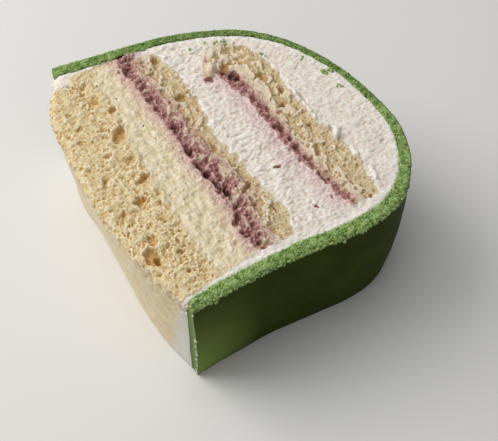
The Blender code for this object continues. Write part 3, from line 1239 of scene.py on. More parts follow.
    def _wall(self, index: Array, below: Array) -> tuple[Array, dict[str, Array], Array]:
        """The base's outer face, between the cut face's first column and the underside's.

        Args:
            index: indices of the cut face's points.
            below: indices of the underside's points.

        Returns:
            The wall's own points, their fields, and the indices of all its points, row by storey.
        """
        s = self.section
        share = np.linspace(0, 1, self.storeys + 1)[None, 1:-1]
        z = share * (s.thickness + self.fields["height"][:, :1])
        y = np.broadcast_to(self.y[:, :1], z.shape)
        near_cut = ramp(share, 0.74, 1)
        swell, grit = self.wall_swell.at(y, z), self.wall_grit.at(y, z)
        streaks = self.wall_streaks.at(y / 3.0, z)
        pores = Noise(421).cells(y, z, 2.4)
        open_pores = np.clip(pores.luck * 3.0 - 2.2 + 1.2 * near_cut, 0, 1)
        pit = self.wall_pores * pores.bowls(0.4) * open_pores
        grains = self.wall_grains * Noise(423).cells(y, z, 1.0).grains(0.2)
        crumb = near_cut**0.8 * (self.wall_crumb.at(y, z) + grains - 0.1)
        calm = ramp(share, 0, 0.05) * ramp(1 - share, 0, 0.02)
        top_shift = self.x[:, :1] - s.base_edge(self.y[:, :1], 1.0)
        x = s.base_edge(y, share) + top_shift * ramp(share, 0.9, 1)
        x = x + (swell + streaks + grit + pit - crumb) * calm
        own = 2 * index.size + np.arange(z.size).reshape(z.shape)
        # Cream is smeared thickly over the near end, and thinly over the rest.
        edge = self.smear_edge + self.smear_spread * (1 - share) ** 1.1
        edge = edge + self.smear_ragged.at(y, 0.6 * z)
        thin = 0.06 + 0.2 * ramp(y, -25, 5) + self.smear_blotches.at(y / 2, z) - 0.1 * near_cut
        # The wall's tone from its relief: painted shade in its pores and painted highlight on its
        # crumbs, with streaks and grit as tone.
        pit = 0.6 * pit + 0.4 * streaks - 0.3 * crumb + 0.7 * grit - 0.12
        smear = np.maximum(ramp(edge - y, 0, 4.5), thin)
        fields = {"pit": pit.ravel()}
        fields |= dict.fromkeys(("depth", "stain", "melt", "rim"), np.zeros(z.size))
        fields |= {"smear": smear.ravel()}
        wall = np.concatenate([below[:, :1], own, index[:, :1]], axis=1)
        return s.to_world(x, y, z).reshape(-1, 3), fields, wall


@dataclass(frozen=True)
class Band:
    """The marzipan's band, step by step along it: its points, their indices and their fields."""

    points: Array
    index: Array
    fields: dict[str, Array]


@dataclass
class Marzipan:
    """The green coat: a band swept along the outline, granular where cut and smooth outside."""

    section: Section
    outline: Outline
    step: float = 0.3
    rim_cells: int = 14
    # The outer side's upper part, down to this share of the height, is finer than the rest.
    fine_share: float = 0.86
    fine_cells: int = 25
    side_cells: int = 29
    inner_cells: int = 7
    bulge: float = 1.3
    # How far from the near end the cut edge is worn round, and by how much.
    worn: float = 4.0
    worn_drop: float = 1.5
    # The shares of the way at which the far side begins, and over which it becomes calmer.
    far_start: float = 0.3
    far_blend: float = 0.08
    # The cut rim: its grains, its lumps and how it is rounded on its outer and inner edge.
    grain_spacing: float = 1.15
    small_spacing: float = 0.62
    grain_height: float = 0.66
    lump_height: float = 0.3
    outer_round: float = 0.7
    outer_round_width: float = 0.8
    inner_round: float = 0.35
    inner_round_width: float = 0.5
    rim_drop: float = 0.12
    # The rim's material hangs this far down the outer side, ragged at its foot, as a burr.
    burr_foot: float = 1.6
    burr_ragged: Wave = Wave(515, 2.2, 0.9)
    burr_fade: float = 0.5
    drips: Wave = Wave(531, 5.0, 1.4)
    side_swell: Wave = Wave(521, 18.0, 0.35, 2)
    # How close each end stays to the base's outer face, and over what way it is drawn there.
    end_gap: float = 0.35
    end_blend: float = 8.0

    def build(self) -> Iterator[bpy.types.Object]:
        """Makes and dresses the coat."""
        yield dress(self.piece(), MARZIPAN, "marzipan")

    def far_side(self, share: Array) -> Array:
        """How far each share of the way is on the far side of the cake, from 0 to 1."""
        return np.clip((share - self.far_start) / self.far_blend, 0, 1)

    def worn_away(self, share: Array) -> Array:
        """How far the cut edge is worn down at each share of the way, in millimetres."""
        return self.worn_drop * np.clip(1 - share * self.outline.length / self.worn, 0, 1) ** 2

    @cached_property
    def _profile(self) -> tuple[Array, Array]:
        """The band's cross-section as a ring of points.

        Returns:
            How far in each point lies, as a share of the thickness, and its height as a share of
            the slice's.
        """
        rim = np.linspace(1.0, 0.0, self.rim_cells + 1)
        fine = np.linspace(1.0, self.fine_share, self.fine_cells + 1)[1:]
        side = np.linspace(self.fine_share, 0.0, self.side_cells + 1)[1:]
        foot = np.linspace(0.0, 1.0, self.rim_cells + 1)[1:]
        inner = np.linspace(0.0, 1.0, self.inner_cells + 1)[1:-1]
        inward = np.concatenate([rim, 0 * fine, 0 * side, foot, 0 * inner + 1])
        height = np.concatenate([0 * rim + 1, fine, side, 0 * foot, inner])
        return inward, height

    @cached_property
    def _band(self) -> Band:
        """Sweeps the cross-section along the outline.

        Returns:
            The band, before its two ends are closed.
        """
        s = self.section
        inward, height = (values[None, :] for values in self._profile)
        share = np.linspace(0, 1, round(self.outline.length / self.step))[:, None]
        thickness = self.outline.thickness(share)
        along = share * self.outline.length + 0 * inward
        deep = inward * thickness
        drop = s.thickness * (1 - height)
        # The cut rim and the outer side are one unrolled strip, so grains run on over the edge.
        across = deep - drop
        on_rim, outside = (height == 1).astype(float), (inward == 0).astype(float)
        far_side = self.far_side(share)
        burr_foot = self.burr_foot + self.burr_ragged.at(along, 0 * along)
        near_edge = np.clip((burr_foot - drop) / self.burr_fade, 0, 1) * outside
        bent = along + Wave(505, 1.2, 0.3, 1).at(along, across)
        grains = Noise(501).cells(bent, across, self.grain_spacing)
        small = Noise(507).cells(along, across, self.small_spacing)
        grain = 0.7 * grains.grains(0.2) + 0.35 * small.grains(0.2)
        lumps = Wave(511, 2.6, 1.0).at(along, across)

        raised = self.grain_height * (1 - 0.4 * far_side) * grain
        raised = raised + self.lump_height * (1 - 0.3 * far_side) * lumps
        outer_round = self.outer_round * ramp(deep, self.outer_round_width, 0) ** 2
        inner_round = self.inner_round * ramp(thickness - deep, self.inner_round_width, 0) ** 2
        z = s.thickness * height
        z = z + on_rim * (raised - outer_round - inner_round - self.rim_drop)
        z = z - self.outer_round * near_edge * (1 - on_rim) * ramp(drop, 1.2, 0)
        z = z - self.worn_away(share) * ramp(drop, 6, 0)

        drip = np.clip(self.drips.at(along, 0 * along), 0, 1)
        burr = near_edge * (0.45 * grain + 0.5 * lumps + 0.25 + 0.6 * drip) * (1 - 0.8 * far_side)
        swell = self.bulge * np.sin(math.pi * height) * outside
        swell = swell + self.side_swell.at(along, drop) * outside * (1 - on_rim)
        ragged = on_rim * (inward == 1) * (0.55 * lumps + 0.4 * grain - 0.15) * ramp(along, 0, 4)
        x, y = self.outline.at(share + 0 * inward, deep - swell - burr + ragged)
        for end, way in ((0, along), (-1, self.outline.length - along)):
            reach = x[end, 0] - s.base_edge(y[end, 0], height) - self.end_gap
            x = x - reach * ramp(way, self.end_blend, 0) ** 2

        # Painted shade: the cut rim is darkened from the crown to the far side.
        far_rim_shade = ramp(share, 0.46, 0.6) * (1 - 0.75 * ramp(share, 0.84, 0.92))
        fields = {
            "cut": np.maximum(on_rim, near_edge),
            # The grains' height, which also sets the cut's painted shade in the troughs between
            # them.
            "grain": grain + 0.3 * lumps,
            "far_rim_shade": far_rim_shade,
            # Painted bounce light: the outer side is lightened towards its foot at the near end.
            "painted_bounce_light": ramp(along, 26, 0) * (1 - height) * outside,
        }
        fields = {name: (values + 0 * grain).ravel() for name, values in fields.items()}
        index = np.arange(x.size).reshape(x.shape)
        return Band(s.to_world(x, y, z).reshape(-1, 3), index, fields)

    @property
    def near_edge(self) -> Array:
        """The points down the outer edge of the band's near end, from the cut face, in metres."""
        inward, _ = self._profile
        return self._band.points[self._band.index[0][inward == 0]]

    def piece(self) -> bpy.types.Object:
        """The coat as a closed mesh.

        Returns:
            Its object.
        """
        band = self._band
        after = np.roll(band.index, -1, axis=1)
        quads = np.stack([band.index[:-1], after[:-1], after[1:], band.index[1:]], -1)
        caps, cap_points, tall, deep = self._caps(band)
        cap_fields = {
            "cut": 0.32 + 0.5 * np.maximum(tall, 1 - deep),
            "grain": 0.25 + 0.3 * (1 - deep),
            "far_rim_shade": 0 * deep,
            "painted_bounce_light": 0 * deep,
        }
        faces = np.concatenate([quads.reshape(-1, 4), caps])
        fields = {
            name: np.concatenate([values, cap_fields[name]])
            for name, values in band.fields.items()
        }
        points = np.concatenate([band.points, cap_points])
        return mesh_of_faces("marzipan_coat", points, faces, np.ones(len(faces), bool), fields)

    def _caps(self, band: Band) -> tuple[Array, Array, Array, Array]:
        """Closes the band's two ends, each with a grid that meets the band all round.

        Args:
            band: the band.

        Returns:
            The caps' quads, the points that they add, and for each point how near it is to the
            cut face and its way in, as shares.
        """
        inward, height = self._profile
        outer, inner = (np.flatnonzero(inward == side) for side in (0, 1))
        inner = inner[np.argsort(height[inner])]
        lane = np.linspace(0, 1, self.rim_cells + 1)[None, :]
        shares = height[outer][:, None]
        quads, extra, base = [], [], len(band.points)
        for end, flip in ((0, False), (-1, True)):
            outer_points, inner_points, rim_points = (
                band.points[band.index[end][part]]
                for part in (outer, inner, slice(self.rim_cells + 1))
            )
            matched = np.stack(
                [np.interp(height[outer], height[inner], inner_points[:, k]) for k in range(3)], 1
            )
            across = lane[..., None]
            grid = outer_points[:, None] * (1 - across) + matched[:, None] * across
            by_rim = np.clip(1 - (1 - shares) / 0.04, 0, 1)[..., None]
            grid = grid + (rim_points[::-1][None] - grid[:1]) * by_rim
            z = grid[..., 2] / MM
            rough = 0.2 + 0.3 * np.abs(Noise(541).layered(z, lane * 4 + 0 * z, 1.3))
            middle = np.sin(math.pi * lane) * ramp(shares, 0, 0.05) * ramp(1 - shares, 0, 0.02)
            grid[..., 0] -= rough * middle * MM
            ids = base + np.arange(z.size).reshape(z.shape)
            base += ids.size
            extra.append(grid.reshape(-1, 3))
            cell = np.stack([ids[:-1, :-1], ids[1:, :-1], ids[1:, 1:], ids[:-1, 1:]], -1)
            quads.append(cell.reshape(-1, 4)[:, ::-1] if flip else cell.reshape(-1, 4))
        tall = ramp(shares, 0.9, 0.98) + 0 * lane
        deep = lane + 0 * tall
        tall, deep = (np.tile(values.ravel(), 2) for values in (tall, deep))
        return np.concatenate(quads), np.concatenate(extra), tall, deep


@dataclass(frozen=True)
class Crumb:
    """A loose crumb, or a smear of several, on the cut face, in section millimetres."""

    x: float
    y: float
    size: float
    count: int = 1


GREEN_CRUMBS = (
    Crumb(48.4, 40.8, 1.1, 3),
    Crumb(61.8, 38.1, 1.0, 8),
    Crumb(58.6, 39.3, 0.8, 6),
    Crumb(55.4, 41.0, 0.7, 4),
    Crumb(65.0, 36.2, 0.8, 4),
    Crumb(71.4, 25.3, 1.1, 4),
    Crumb(84.3, 16.5, 1.1, 4),
    Crumb(89.3, 5.8, 1.6, 7),
    Crumb(88.5, -2.0, 1.1, 3),
    Crumb(89.9, -1.7, 0.8, 2),
    Crumb(21.6, 45.4, 0.6, 1),
)
DARK_SPECKS = (
    Crumb(29.0, 41.6, 0.45),
    Crumb(14.0, 32.8, 0.35),
    Crumb(17.4, 16.7, 0.35),
    Crumb(10.1, 41.7, 0.4),
)


@dataclass(frozen=True)
class Lumps:
    """Small uneven lumps of one kind, joined in one mesh."""

    seed: int
    fineness: int = 2
    unevenness: float = 0.28
    # The three half-widths of a lump of size 1.
    shape: Triple = (1.0, 1.0, 1.0)

    def piece(
        self, name: str, centres: Array, sizes: Array, fields: dict[str, Array | float]
    ) -> bpy.types.Object:
        """Makes the lumps.

        Args:
            name: the piece's name.
            centres: where they lie, in metres.
            sizes: the size of each in millimetres, or three sizes for its three half-widths.
            fields: numbers that the material reads, one for all lumps or one for each.

        Returns:
            Their object.
        """
        ball = bmesh.new()
        bmesh.ops.create_icosphere(ball, subdivisions=self.fineness, radius=1.0)
        way = np.array([vertex.co[:] for vertex in ball.verts])
        corners = np.array([[vertex.index for vertex in face.verts] for face in ball.faces])
        ball.free()
        count = len(centres)
        turn = np.random.default_rng(self.seed).uniform(0, 2 * math.pi, count)[:, None]
        # Each lump takes its own place in the noise.
        own = 17.3 * np.arange(count)[:, None]
        x, y, z = way.T
        bump = Noise(self.seed).smooth(1.3 * x + own, 1.3 * y + 0 * own, 1.0)
        bump = bump + Noise(self.seed + 1).smooth(1.6 * z + own, 1.6 * x + 0 * own, 1.0)
        halves = sizes.reshape(count, -1) * np.array([self.shape]) * MM
        round_x, round_y, round_z = np.moveaxis(
            way[None] * (1 + self.unevenness * bump)[..., None] * halves[:, None, :], -1, 0
        )
        cos, sin = np.cos(turn), np.sin(turn)
        turned = np.stack(
            [round_x * cos - round_y * sin, round_x * sin + round_y * cos, round_z], -1
        )
        points = (centres[:, None, :] + turned).reshape(-1, 3)
        faces = (corners[None] + len(way) * np.arange(count)[:, None, None]).reshape(-1, 3)
        values = {
            field: np.repeat(np.broadcast_to(value, count), len(way))
            for field, value in fields.items()
        }
        return mesh_of_faces(name, points, faces, np.ones(len(faces), bool), values)


@dataclass
class Scattered:
    """All the loose crumbs, grains and flecks on the slice."""

    face: CutFace
    marzipan: Marzipan
    edge_crumbs_count: int = 70
    # Grains in the marzipan's cut rim, and grains that hang below it on the near side.
    rim_grains: int = 1100
    hung_grains: int = 260
    # Large grains at the near side's cut edge: x, y, how far below the cut, and size.
    knobs: tuple[tuple[float, ...], ...] = (
        (8.5, -56.9, 2.2, 0.95), (6.6, -56.8, 1.4, 0.8), (56.4, -57.9, 1.9, 0.9),
        (34.0, -56.0, 1.6, 0.7), (0.3, -55.2, 0.9, 0.85), (1.6, -54.4, 0.2, 0.8),
        (0.9, -54.6, 0.3, 0.75), (2.9, -53.9, 0.1, 0.6), (0.1, -55.6, 1.9, 0.7),
    )
    # White flecks down the marzipan's near end, partly cream and partly painted highlights that
    # stand in for its glints, one more at this height, and flecks of cream beside the rim.
    end_glint_flecks: int = 26
    high_fleck: float = 54.0
    rim_flecks: int = 14
    # Lumps of cream at the near corner: x, y, height and size.
    corner_lumps: tuple[tuple[float, ...], ...] = (
        (-0.6, -54.0, 54.0, 0.8), (-0.5, -53.7, 52.6, 0.65), (-0.5, -54.3, 55.0, 0.75),
        (-0.4, -53.2, 54.7, 0.8),
    )

    def build(self) -> Iterator[bpy.types.Object]:
        """Makes and dresses the scattered pieces.

        Returns:
            The pieces, one after another.
        """
        yield dress(self.green_crumbs(), MARZIPAN)
        yield dress(self.grains(), MARZIPAN)
        yield dress(self.edge_crumbs(), LOOSE_CRUMB)
        yield dress(self.flecks_and_glints(), CREAM)
        yield dress(self.specks(), SPECK)

    def _on_face(self, x: Array, y: Array, lift: Array | float) -> Array:
        """Points in metres on the cut face, this many millimetres above it."""
        z = np.array([self.face.height_at(a, b) for a, b in zip(x, y)]) + lift
        return self.face.section.to_world(x, y, z)

    def green_crumbs(self) -> bpy.types.Object:
        """Marzipan crumbs that the knife dragged over the cream.

        Returns:
            Their object.
        """
        draw = np.random.default_rng(71)
        x, y, size = [], [], []
        for crumb in GREEN_CRUMBS:
            spread = 0.32 * crumb.size * crumb.count**0.5
            x.extend(crumb.x + spread * draw.normal(size=crumb.count))
            y.extend(crumb.y + spread * draw.normal(size=crumb.count))
            size.extend(crumb.size * draw.uniform(0.35, 0.62, crumb.count))
        x, y, size = (np.array(values) for values in (x, y, size))
        centres = self._on_face(x, y, 0.25 * size)
        lumps = Lumps(73, shape=(1.0, 0.8, 0.5))
        return lumps.piece("green_crumbs", centres, size, {"cut": 1.0, "grain": 0.62})

    def specks(self) -> bpy.types.Object:
        """Dark specks of seed in the custard and the sponge.

        Returns:
            Their object.
        """
        x, y, size, _ = np.array([astuple(speck) for speck in DARK_SPECKS]).T
        lumps = Lumps(75, shape=(1.0, 0.7, 0.6))
        return lumps.piece("dark_specks", self._on_face(x, y, 0.1), size, {"depth": 1.0})

    def edge_crumbs(self) -> bpy.types.Object:
        """Crumbs along the upper edge of the base's outer face, most of them at its far corner.

        Returns:
            Their object.
        """
        draw = np.random.default_rng(81)
        s, count = self.face.section, self.edge_crumbs_count
        y = 46 - 92 * draw.random(count) ** 1.8
        down = 7.0 * draw.random(count) ** 1.6
        size = draw.uniform(0.22, 0.7, count) * (1 - 0.05 * down)
        edge = s.base_edge(y, 1.0)
        # Crumbs near the cut may lie in from the edge, and those lie a little higher.
        x = edge + 0.1 * down - 0.5 + 1.3 * draw.random(count) * (down < 1.5)
        z = s.thickness - 1.2 - down + 0.7 * np.clip(x - edge, 0, 1)
        lumps = Lumps(83, unevenness=0.5, shape=(1.0, 0.75, 0.65))
        # The crumbs are a little lighter, as a painted highlight.
        return lumps.piece("edge_crumbs", s.to_world(x, y, z), size, {"pit": -0.1, "melt": 0.5})

    def grains(self) -> bpy.types.Object:
        """Coarse grains standing in the marzipan's cut rim and clinging to its edges.

        Returns:
            Their object.
        """
        draw = np.random.default_rng(91)
        s, outline = self.face.section, self.face.outline
        count, hung = self.rim_grains, self.hung_grains
        share = draw.uniform(0.004, 0.996, count)
        inward = outline.thickness(share) * draw.uniform(-0.04, 1.05, count)
        x, y = outline.at(share, inward)
        size = draw.uniform(0.2, 0.42, count) * (1 - 0.25 * self.marzipan.far_side(share))
        z = s.thickness + 0.12 + 0.2 * draw.random(count) - 0.7 * ramp(inward, 0.7, 0)
        rim = s.to_world(x, y, z - self.marzipan.worn_away(share))
        hung_share = draw.uniform(0.01, 0.32, hung)
        drop = 0.6 + 1.3 * draw.random(hung) ** 1.5
        hung_x, hung_y = outline.at(hung_share, -0.35)
        under = s.to_world(hung_x, hung_y, s.thickness - drop)
        size = np.concatenate([size, draw.uniform(0.28, 0.62, hung)])
        knob_x, knob_y, knob_drop, knob_size = np.array(self.knobs).T
        knobs = s.to_world(knob_x, knob_y, s.thickness - knob_drop)
        halves = np.concatenate(
            [np.outer(size, (1.0, 0.9, 0.8)), np.outer(knob_size, (1.0, 0.8, 1.1))]
        )
        centres = np.concatenate([rim, under, knobs])
        lumps = Lumps(93, fineness=1, unevenness=0.3)
        return lumps.piece("marzipan_grains", centres, halves, {"cut": 1.0, "grain": 0.72})

    def flecks_and_glints(self) -> bpy.types.Object:
        """White flecks along the edge of the marzipan's near end, partly cream and partly painted
        highlights for its glints, and bits of cream beside the rim.

        Returns:
            Their object.
        """
        draw = np.random.default_rng(97)
        s, outline = self.face.section, self.face.outline
        z = np.concatenate([2 + 34 * draw.random(self.end_glint_flecks) ** 1.2, [self.high_fleck]]) * MM
        edge = self.marzipan.near_edge[::-1]
        end = np.stack([np.interp(z, edge[:, 2], edge[:, k]) for k in range(3)], 1)
        end = end + (draw.normal(0, 0.16, end.shape) + np.array([-0.25, 0.05, 0.0])) * MM
        share = draw.uniform(0.02, 0.98, self.rim_flecks)
        inward = outline.thickness(share) * draw.uniform(0.35, 1.1, self.rim_flecks)
        rim = s.to_world(*outline.at(share, inward), s.thickness + 0.45)
        corner_x, corner_y, corner_z, corner_size = np.array(self.corner_lumps).T
        corner = s.to_world(corner_x, corner_y, corner_z)
        end_size = draw.uniform(0.16, 0.42, len(end))
        rim_size = draw.uniform(0.14, 0.26, len(rim))
        size = np.concatenate([end_size, rim_size, corner_size])
        tall = np.ones(len(size))
        tall[: len(end)] = draw.uniform(1.0, 2.6, len(end))
        halves = size[:, None] * np.stack([0.8 + 0 * tall, 0.8 + 0 * tall, tall], 1)
        # Painted highlight on the flecks, and painted shade on the corner lumps.
        pit = np.full(len(size), -0.4)
        pit[-len(corner) :] = 0.45
        lumps = Lumps(99, unevenness=0.35)
        centres = np.concatenate([end, rim, corner])
        return lumps.piece("flecks_and_glints", centres, halves, {"pit": pit})


def linear(red: int, green: int, blue: int) -> Colour:
    """An sRGB colour of 0 to 255 as Blender's linear one."""
    levels = (v / 255 for v in (red, green, blue))
    return (*(v / 12.92 if v <= 0.04045 else ((v + 0.055) / 1.055) ** 2.4 for v in levels), 1.0)


@dataclass(frozen=True)
class Nodes:
    """A short way to write the nodes of a material or a group."""

    tree: bpy.types.NodeTree

    def add(
        self, kind: str, inputs: dict[str | int, Feed] | None = None, **settings: object
    ) -> bpy.types.Node:
        """Adds a node.

        Args:
            kind: the node's type, without ShaderNode.
            inputs: values or sockets for its inputs, by name or index.
            settings: its properties.

        Returns:
            The node.
        """
        node = self.tree.nodes.new("ShaderNode" + kind)
        for key, value in settings.items():
            setattr(node, key, value)
        for key, value in (inputs or {}).items():
            self.set(node.inputs[key], value)
        return node

    def set(self, socket: bpy.types.NodeSocket, value: Feed) -> None:
        """Sets a socket to a value, or links it to another socket.

        Args:
            socket: the input.
            value: what it takes.
        """
        if isinstance(value, bpy.types.NodeSocket):
            self.tree.links.new(value, socket)
        else:
            socket.default_value = value

    def mix(self, share: Feed, first: Feed, second: Feed) -> bpy.types.NodeSocket:
        """Mixes two colours.

        Args:
            share: the second colour's share.
            first: the first colour.
            second: the second colour.

        Returns:
            The mixed colour.
        """
        node = self.add("Mix", data_type="RGBA")
        # A Mix node has these inputs and this output for colours.
        for place, value in ((0, share), (6, first), (7, second)):
            self.set(node.inputs[place], value)
        return node.outputs[2]

    def ramp(self, value: Feed, low: float, high: float) -> bpy.types.NodeSocket:
        """A value's way from low to high, from 0 to 1."""
        inputs = dict(enumerate((value, low, high, 0.0, 1.0)))
        return self.add("MapRange", inputs, clamp=True).outputs[0]

    def product(self, first: Feed, second: Feed) -> bpy.types.NodeSocket:
        """Two numbers multiplied."""
        return self.add("Math", {0: first, 1: second}, operation="MULTIPLY").outputs[0]

    def field(self, name: str) -> bpy.types.NodeSocket:
        """The number that the mesh holds under this name."""
        return self.add("Attribute", attribute_name=name).outputs["Fac"]

    def noise(self, scale: Feed, detail: float) -> bpy.types.NodeSocket:
        """Noise over the object's own coordinates.

        Args:
            scale: how many lumps there are to a metre.
            detail: how many finer sizes are laid over them.

        Returns:
            The noise, from 0 to 1.
        """
        place = self.add("TexCoord").outputs["Object"]
        inputs = {"Vector": place, "Scale": scale, "Detail": detail}
        return self.add("TexNoise", inputs).outputs["Fac"]

    def bump(self, height: Feed, strength: float, distance: float, shader: bpy.types.Node) -> None:
        """Roughens a shader's surface.

        Args:
            height: the surface's height, from 0 to 1.
            strength: how strongly it shows, from 0 to 1.
            distance: the height of 1, in metres.
            shader: the shader.
        """
        inputs = {"Height": height, "Strength": strength, "Distance": distance}
        self.set(shader.inputs["Normal"], self.add("Bump", inputs).outputs["Normal"])


def principled(name: str) -> tuple[bpy.types.Material, Nodes, bpy.types.Node]:
    """A new material with its Principled shader.

    Args:
        name: the material's name.

    Returns:
        The material, its nodes and the shader.
    """
    material = bpy.data.materials.new(name)
    material.use_nodes = True
    return material, Nodes(material.node_tree), material.node_tree.nodes["Principled BSDF"]


class FoodGroup:
    """The look that all the soft food shares, as one group of shader nodes.

    It mottles two tones, darkens them in pits as painted shade, gives deep holes their hole colour
    (painted shade in the sponge and the jam, the marks' own colour in the cream), lightens crests
    as a painted highlight, runs into the tone of the next layer along the seams, and soaks in the
    jam's pink in speckles.
    """

    COLOURS = ("Light", "Shade", "Crest", "Pit", "Melt", "Hole", "Pink")
    NUMBERS = (
        ("Patch Scale", 260.0),
        ("Grain Scale", 1500.0),
        ("Pit Depth", 1.0),
        ("Soak", 1.0),
        ("White Rim", 0.0),
    )

    def __init__(self) -> None:
        """Makes the group's sockets and nodes."""
        self.tree = bpy.data.node_groups.new("food_look", "ShaderNodeTree")
        for name in self.COLOURS:
            self._socket(name, "INPUT", "Color")
        for name, value in self.NUMBERS:
            self._socket(name, "INPUT", "Float").default_value = value
        self._socket("Color", "OUTPUT", "Color")
        self._socket("Height", "OUTPUT", "Float")
        nodes = Nodes(self.tree)
        given = self.tree.nodes.new("NodeGroupInput").outputs
        patch = nodes.noise(given["Patch Scale"], 4.0)
        fine = nodes.noise(given["Grain Scale"], 3.0)
        pit = nodes.product(nodes.field("pit"), given["Pit Depth"])
        rim = nodes.product(nodes.field("rim"), given["White Rim"])
        speckle = nodes.add(
            "Math", {0: nodes.ramp(fine, 0.4, 0.62), 1: 1.0, 2: 0.4}, operation="MULTIPLY_ADD"
        ).outputs[0]
        soak = nodes.product(nodes.product(nodes.field("stain"), speckle), given["Soak"])
        tone = given["Light"]
        # Each layer of colour in turn, and how far it covers those below it.
        for share, colour in (
            (nodes.ramp(patch, 0.36, 0.66), "Shade"),
            (nodes.product(nodes.ramp(fine, 0.48, 0.75), 0.6), "Shade"),
            # Painted highlight on crests and painted shade in pits, from how far a point lies
            # above or below the relief around it.
            (nodes.ramp(pit, -0.05, -0.5), "Crest"),
            (nodes.ramp(pit, 0.05, 0.65), "Pit"),
            (nodes.field("melt"), "Melt"),
            (rim, "Crest"),
            # The hole colour by depth: painted shade in the jam's cavities and the sponge's
            # hollows, and the own colour of marks in the cream.
            (nodes.ramp(nodes.field("depth"), 0.12, 1.0), "Hole"),
            (nodes.ramp(soak, 0.05, 1.0), "Pink"),
        ):
            tone = nodes.mix(share, tone, given[colour])
        out = self.tree.nodes.new("NodeGroupOutput")
        nodes.set(out.inputs["Color"], tone)
        nodes.set(out.inputs["Height"], fine)

    def _socket(self, name: str, way: str, kind: str) -> bpy.types.NodeTreeInterfaceSocket:
        """Adds one of the group's sockets, as an input or an output."""
        return self.tree.interface.new_socket(name, in_out=way, socket_type="NodeSocket" + kind)


@cache
def food_group() -> FoodGroup:
    """The foods' shared group, built once."""
    return FoodGroup()


@dataclass(frozen=True)
class FoodFinish:
    """A soft food's colours and grain."""

    name: str
    slot: Slot
    light: Colour
    shade: Colour
    # crest is a painted highlight on the relief's crests, and pit the painted shade in its pits.
    crest: Colour
    pit: Colour
    melt: Colour
    # The colour deep in hollows: painted shade in the sponge's and the jam's, and the marks' own
    # colour in the cream and the specks'.
    hole: Colour
    pink: Colour
    patch_scale: float = 260.0
    grain_scale: float = 1500.0
    pit_shade_strength: float = 1.0
    soak: float = 1.0
    white_rim: float = 0.0
    roughness: float = 0.7
    # How much light goes through, and how far in metres, by colour.
    glow: float = 0.15
    glow_reach: float = 0.0012
    glow_shares: Triple = (1.0, 0.75, 0.45)
    bump: float = 0.4
    bump_height: float = 0.0003
    # The cream smeared over it where its mesh says so.
    smeared: Colour | None = None

    @cached_property
    def material(self) -> bpy.types.Material:
        """Makes the finish when a piece first takes it.

        Returns:
            The material.
        """
        material, nodes, shader = principled(self.name)
        group = nodes.add("Group", node_tree=food_group().tree)
        colours = self.light, self.shade, self.crest, self.pit, self.melt, self.hole, self.pink
        for name, value in zip(FoodGroup.COLOURS, colours):
            group.inputs[name].default_value = value
        numbers = self.patch_scale, self.grain_scale, self.pit_shade_strength, self.soak, self.white_rim
        for (name, _), value in zip(FoodGroup.NUMBERS, numbers):
            group.inputs[name].default_value = value
        tone = group.outputs["Color"]
        if self.smeared:
            tone = nodes.mix(nodes.field("smear"), tone, self.smeared)
        nodes.set(shader.inputs["Base Color"], tone)
        shader.inputs["Roughness"].default_value = self.roughness
        shader.inputs["Subsurface Weight"].default_value = self.glow
        shader.inputs["Subsurface Radius"].default_value = self.glow_shares
        shader.inputs["Subsurface Scale"].default_value = self.glow_reach
        nodes.bump(group.outputs["Height"], self.bump, self.bump_height, shader)
        return material


SPONGE = FoodFinish(
    name="sponge_crumb",
    slot=Slot.SPONGE,
    light=linear(227, 209, 168),
    shade=linear(214, 189, 140),
    crest=linear(242, 229, 198),
    pit=linear(192, 150, 82),
    melt=linear(228, 210, 170),
    hole=linear(200, 156, 80),
    pink=linear(176, 134, 122),
    pit_shade_strength=1.5,
    roughness=0.85,
    glow=0.6,
    smeared=linear(222, 218, 207),
)
TORN_SPONGE = FoodFinish(
    name="torn_sponge",
    slot=Slot.SPONGE,
    light=linear(216, 198, 164),
    shade=linear(202, 178, 134),
    crest=linear(236, 224, 200),
    pit=linear(184, 144, 80),
    melt=linear(226, 211, 186),
    hole=linear(180, 136, 66),
    pink=linear(182, 138, 130),
    pit_shade_strength=1.3,
    soak=0.9,
    roughness=0.8,
    glow=0.4,
)
CREAM = FoodFinish(
    name="whipped_cream",
    slot=Slot.CREAM,
    light=linear(243, 234, 222),
    shade=linear(233, 222, 208),
    crest=linear(249, 245, 240),
    pit=linear(208, 192, 175),
    melt=linear(232, 219, 200),
    hole=linear(146, 86, 66),
    pink=linear(212, 170, 174),
    patch_scale=200.0,
    pit_shade_strength=2.0,
    soak=0.7,
    white_rim=0.8,
    roughness=0.45,
    glow=0.3,
    bump=0.3,
    smeared=linear(222, 218, 207),
)
CUSTARD = FoodFinish(
    name="vanilla_custard",
    slot=Slot.CUSTARD,
    light=linear(236, 222, 193),
    shade=linear(223, 205, 168),
    crest=linear(247, 241, 224),
    pit=linear(202, 175, 126),
    melt=linear(228, 210, 170),
    hole=linear(120, 84, 56),
    pink=linear(204, 160, 156),
    patch_scale=210.0,
    pit_shade_strength=1.4,
    roughness=0.45,
    glow=0.45,
    bump=0.25,
)
JAM = FoodFinish(
    name="berry_jam",
    slot=Slot.JAM,
    light=linear(173, 115, 109),
    shade=linear(144, 85, 80),
    crest=linear(219, 182, 176),
    pit=linear(106, 53, 47),
    melt=linear(188, 144, 134),
    hole=linear(62, 22, 14),
    pink=linear(176, 130, 124),
    patch_scale=420.0,
    pit_shade_strength=0.9,
    soak=0.3,
    roughness=0.45,
    glow=0.15,
)
SPECK = FoodFinish(
    name="seed_speck",
    slot=Slot.JAM,
    light=linear(96, 60, 30),
    shade=linear(74, 44, 20),
    crest=linear(110, 70, 40),
    pit=linear(60, 34, 16),
    melt=linear(96, 60, 30),
    hole=linear(64, 38, 18),
    pink=linear(96, 60, 30),
)
